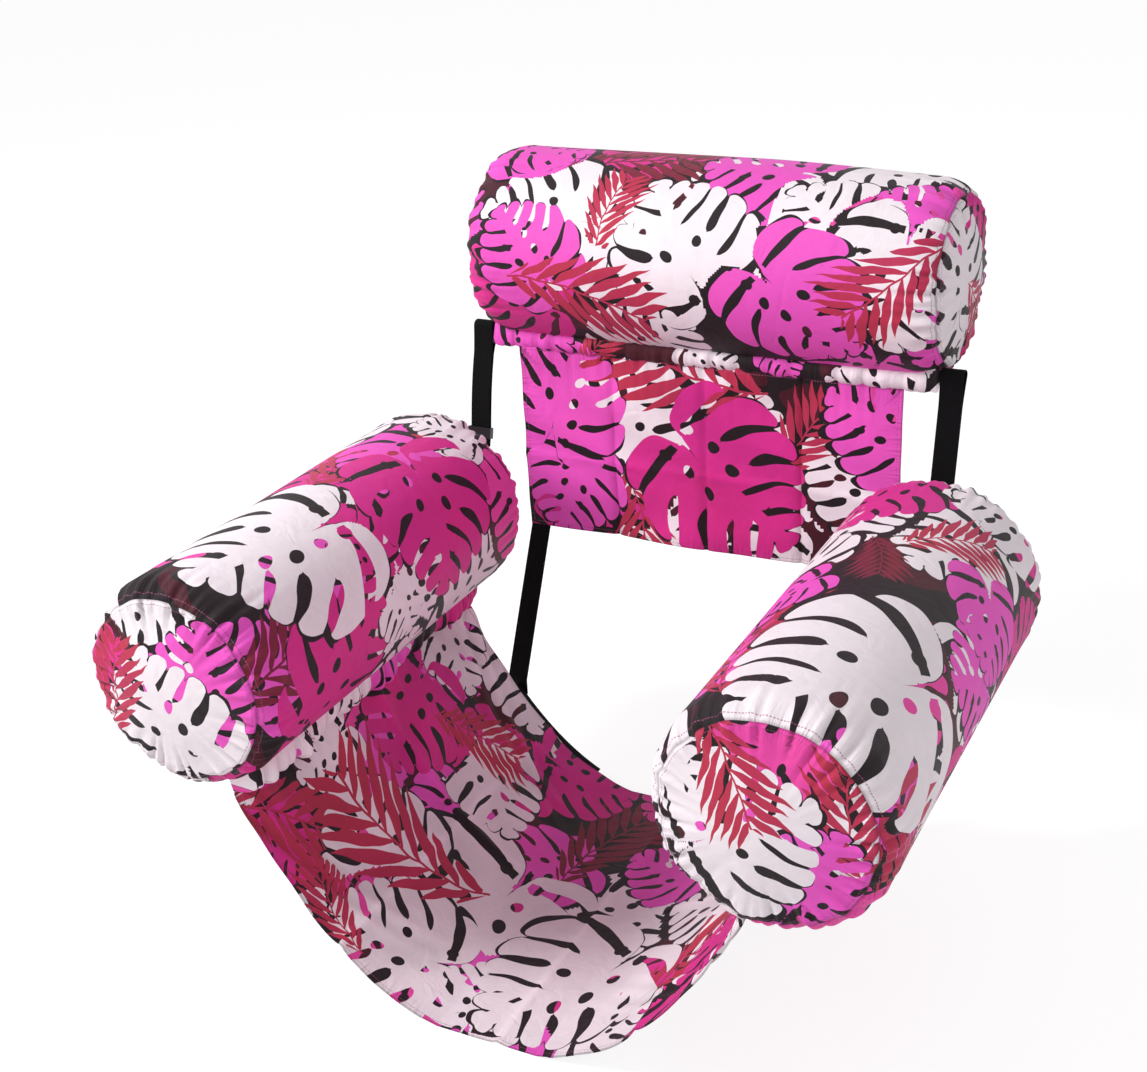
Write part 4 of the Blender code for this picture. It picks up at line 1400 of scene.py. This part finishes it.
def addUpperStrap(side):
    # From the armrest's strip up behind the armrest, round under the headrest and back through the slider
    node = side + "_upper_strap"
    low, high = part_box(node)
    x = (low.x + high.x) / 2
    armrest, head = middleOf("left_armrest_sleeve"), middleOf("headrest_sleeve")
    seam = rollPlace("headrest").to_3x3().col[0]
    reach = sizeOf("headrest_sleeve").z / 2 + upperStrap["topClearance"]
    anchor = np.array((x, low.y + 0.0001, low.z + webbing["thickness"] / 2))
    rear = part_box("left_armrest_valve_end_cap")[1].y
    bend = np.array((x, rear + upperStrap["behindArmrest"], armrest.z - upperStrap["bendDrop"]))
    top = np.array((x, *(head + seam * reach).yz))
    along = (top - bend) / np.linalg.norm(top - bend)
    back = np.array((0, along[2], -along[1]))
    reach = upperStrap["bendReach"]
    start = bezier(anchor, anchor + np.array((0, reach, 0)), bend - along * reach, bend, 24)
    sliderPlace = bend + (top - bend) * upperStrap["sliderShare"]
    share = np.linspace(0, 1, 60)[1:, None]
    bow = np.array(upperStrap["bow"][side])
    aboveSlider = np.clip((share - upperStrap["sliderShare"]) / (1 - upperStrap["sliderShare"]), 0, 1)
    up = bend + (top - bend) * share - back * openAt((1 - share) * np.linalg.norm(top - bend))
    up += bow * np.sin(aboveSlider * math.pi)
    radius = webbing["plySpacing"] / 2
    turn = np.linspace(0, math.pi, 13)[1:-1, None]
    wide = radius + upperStrap["topSpread"]
    fold = top + back * radius - back * wide * np.cos(turn) + along * wide * 0.7 * np.sin(turn)
    share = np.linspace(0, 1, 40)[:, None]
    lowEnd = sliderPlace - along * upperStrap["tail"]
    aboveSlider = np.clip(1 - share / (1 - upperStrap["tail"] / np.linalg.norm(top - lowEnd)), 0, 1)
    spread = 2 * radius + openAt(share * np.linalg.norm(top - lowEnd))
    down = top + (lowEnd - top) * share + back * spread + bow * np.sin(aboveSlider * math.pi)
    piece = addStrap(side + "UpperStrap", np.concatenate([start, up, fold, down]), high.x - low.x, (1, 0, 0))
    finishPiece(piece, "backrest", "black_webbing", blackWebbing, node)
    wear(side + "_strap_slider", sliderPlastic)


lowerStrap = {"leanIn": 0.955, "rise": 0.022}


def addLowerStrap(side):
    node = side + "_lower_strap"
    low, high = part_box(node)
    x = (low.x + high.x) / 2
    half = webbing["thickness"] / 2
    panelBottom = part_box("back_panel")[0].z
    overlap = high.z - panelBottom
    seatX, seatTop = x * lowerStrap["leanIn"], low.z + overlap + lowerStrap["rise"]
    path = [
        (x, high.y - half, high.z - half), (x, high.y - half, panelBottom),
        (seatX, low.y + half, seatTop), (seatX, low.y + half, seatTop - overlap + half),
    ]
    piece = addStrap(side + "LowerStrap", path, high.x - low.x, (1, 0, 0), wave=0.0006)
    piece.data.materials.clear()
    piece.data.materials.append(blackWebbing)
    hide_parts(node)
    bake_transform(piece)


def addSeatWebbing(side):
    # Sewn under the seat's back edge
    node = side + "_seat_webbing"
    low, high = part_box(node)
    sign = -1 if side == "left" else 1
    halfWay = slingCurve()[0][-1]
    s = sign * np.linspace(12 / 18, 5 / 18, 44) * halfWay
    below = sling["thickness"] / 2 + 0.0003 + webbing["thickness"] / 2
    x, z = onSling(s, np.full_like(s, -below))
    y = np.full_like(s, (low.y + high.y) / 2)
    piece = addStrap(side + "SeatWebbing", np.stack([x, y, z], 1), high.y - low.y, (0, 1, 0))
    finishPiece(piece, "seat", "black_webbing", blackWebbing, node)


for side in ("left", "right"):
    addUpperStrap(side)
    addLowerStrap(side)
    addSeatWebbing(side)
print("straps done")


# Zips: a woven tape with a coil of teeth on it
zipper = {
    "tapeRadius": 0.1106,
    "tapeWidth": 0.020,
    "tapeThickness": 0.0005,
    "rowPitch": 0.004,
    "coilRadius": 0.0011,
    "wireRadius": 0.00035,
    "pitch": 0.0016,
    "columns": 14,
}


def addZip(name):
    place = rollPlace(name)
    body = bodies[name]["body"]
    middle = place.inverted() @ middleOf(name + "_zip_tape")
    length = lengthAlong(name, "_zip_tape")
    angle = math.atan2(middle.y, middle.x)
    rows = round(length / zipper["rowPitch"])
    tape = addFlatCloth(name + "ZipTape", zipper["columns"], rows, zipper["tapeWidth"], length)
    flat = readPoints(tape.data)
    turn = angle + flat[:, 0] / zipper["tapeRadius"]
    radius = zipper["tapeRadius"]
    writePoints(tape.data, aroundAxis(turn, radius, middle.z + flat[:, 1]))
    thicken(tape, zipper["tapeThickness"])
    movePoints(tape, place)
    shadeSmooth(tape, 50)
    finishPiece(tape, body, "zip_tape_cloth", zipTapeCloth, name + "_zip_tape")

    coilMiddle = place.inverted() @ middleOf(name + "_zip_teeth")
    coilLength = lengthAlong(name, "_zip_teeth")
    deselectAll()
    bpy.ops.mesh.primitive_torus_add(
        major_segments=10, minor_segments=5,
        major_radius=zipper["coilRadius"], minor_radius=zipper["wireRadius"],
    )
    coil = bpy.context.object
    coil.name = name + "ZipTeeth"
    leaning = Matrix.Diagonal((0.55, 1.5, 1, 1)) @ Matrix.Rotation(math.radians(12), 4, "X")
    turned = Matrix.Rotation(angle, 4, "Z") @ leaning
    movePoints(coil, turned)
    count = round(coilLength / zipper["pitch"])
    applyModifier(
        coil, "ARRAY", count=count, use_relative_offset=False, use_constant_offset=True,
        constant_offset_displace=(0, 0, zipper["pitch"]),
    )
    radius = zipper["tapeRadius"] + zipper["tapeThickness"] / 2 + zipper["coilRadius"] * 0.5
    lowest = coilMiddle.z - (count - 1) * zipper["pitch"] / 2
    start = Vector((math.cos(angle) * radius, math.sin(angle) * radius, lowest))
    movePoints(coil, place @ Matrix.Translation(start))
    shadeSmooth(coil)
    finishPiece(coil, body, "zip_plastic", zipPlastic, name + "_zip_teeth")
    wear(name + "_zip_slider", zipPlastic)
    wear(name + "_zip_pull", zipPlastic)


# Air bladders: welded film with a rim at each end, inside the covers
bladder = {"slack": 0.0026, "steps": 72, "pocket": 0.017}


def addBladder(name):
    place = rollPlace(name)
    body = bodies[name]["body"]
    length = lengthAlong(name, "_sleeve")
    radius, endRadius = roll["radius"] - bladder["slack"], roll["endSeamRadius"] - 0.004
    half = length / 2
    profile = [(0.0, half + 0.008), (0.045, half + 0.006), (0.080, half - 0.001), (endRadius, half - 0.006)]
    profile += [(endRadius + 0.0015, half - 0.008), (radius * 0.965, half - 0.018), (radius, half - 0.034)]
    valveSide = math.copysign(1, (place.inverted() @ middleOf(name + "_valve_stem")).z)
    dish = half - bladder["pocket"]
    dished = [(0.0057, dish), (0.018, dish), (0.030, dish + 0.0015), (0.050, dish + 0.006)]
    dished += [(0.080, dish + 0.010)] + profile[3:]
    far = profile if valveSide < 0 else dished
    near = dished if valveSide < 0 else profile
    outline = far + [(r, -z) for r, z in reversed(near)]
    deselectAll()
    bpy.ops.mesh.primitive_plane_add(size=0.01)
    piece = bpy.context.object
    piece.name = piece.data.name = name + "Bladder"
    mesh = piece.data
    mesh.clear_geometry()
    mesh.from_pydata([(r, 0, z) for r, z in outline], [(i, i + 1) for i in range(len(outline) - 1)], [])
    selectOnly(piece)
    turned = {"steps": bladder["steps"], "angle": 2 * math.pi, "center": (0, 0, 0), "axis": (0, 0, 1)}
    editAll((bpy.ops.mesh.spin, turned))
    weldAll(0.00005)
    movePoints(piece, place)
    slacken(piece, name)
    shadeSmooth(piece, 40)
    finishPiece(piece, body, "bladder_film", bladderFilm, name + "_bladder")
    wear(name + "_valve_stem", valvePlastic)
    wear(name + "_valve_plug", valvePlastic)


for name in bodies:
    addZip(name)
    addBladder(name)
print("zips and bladders done")
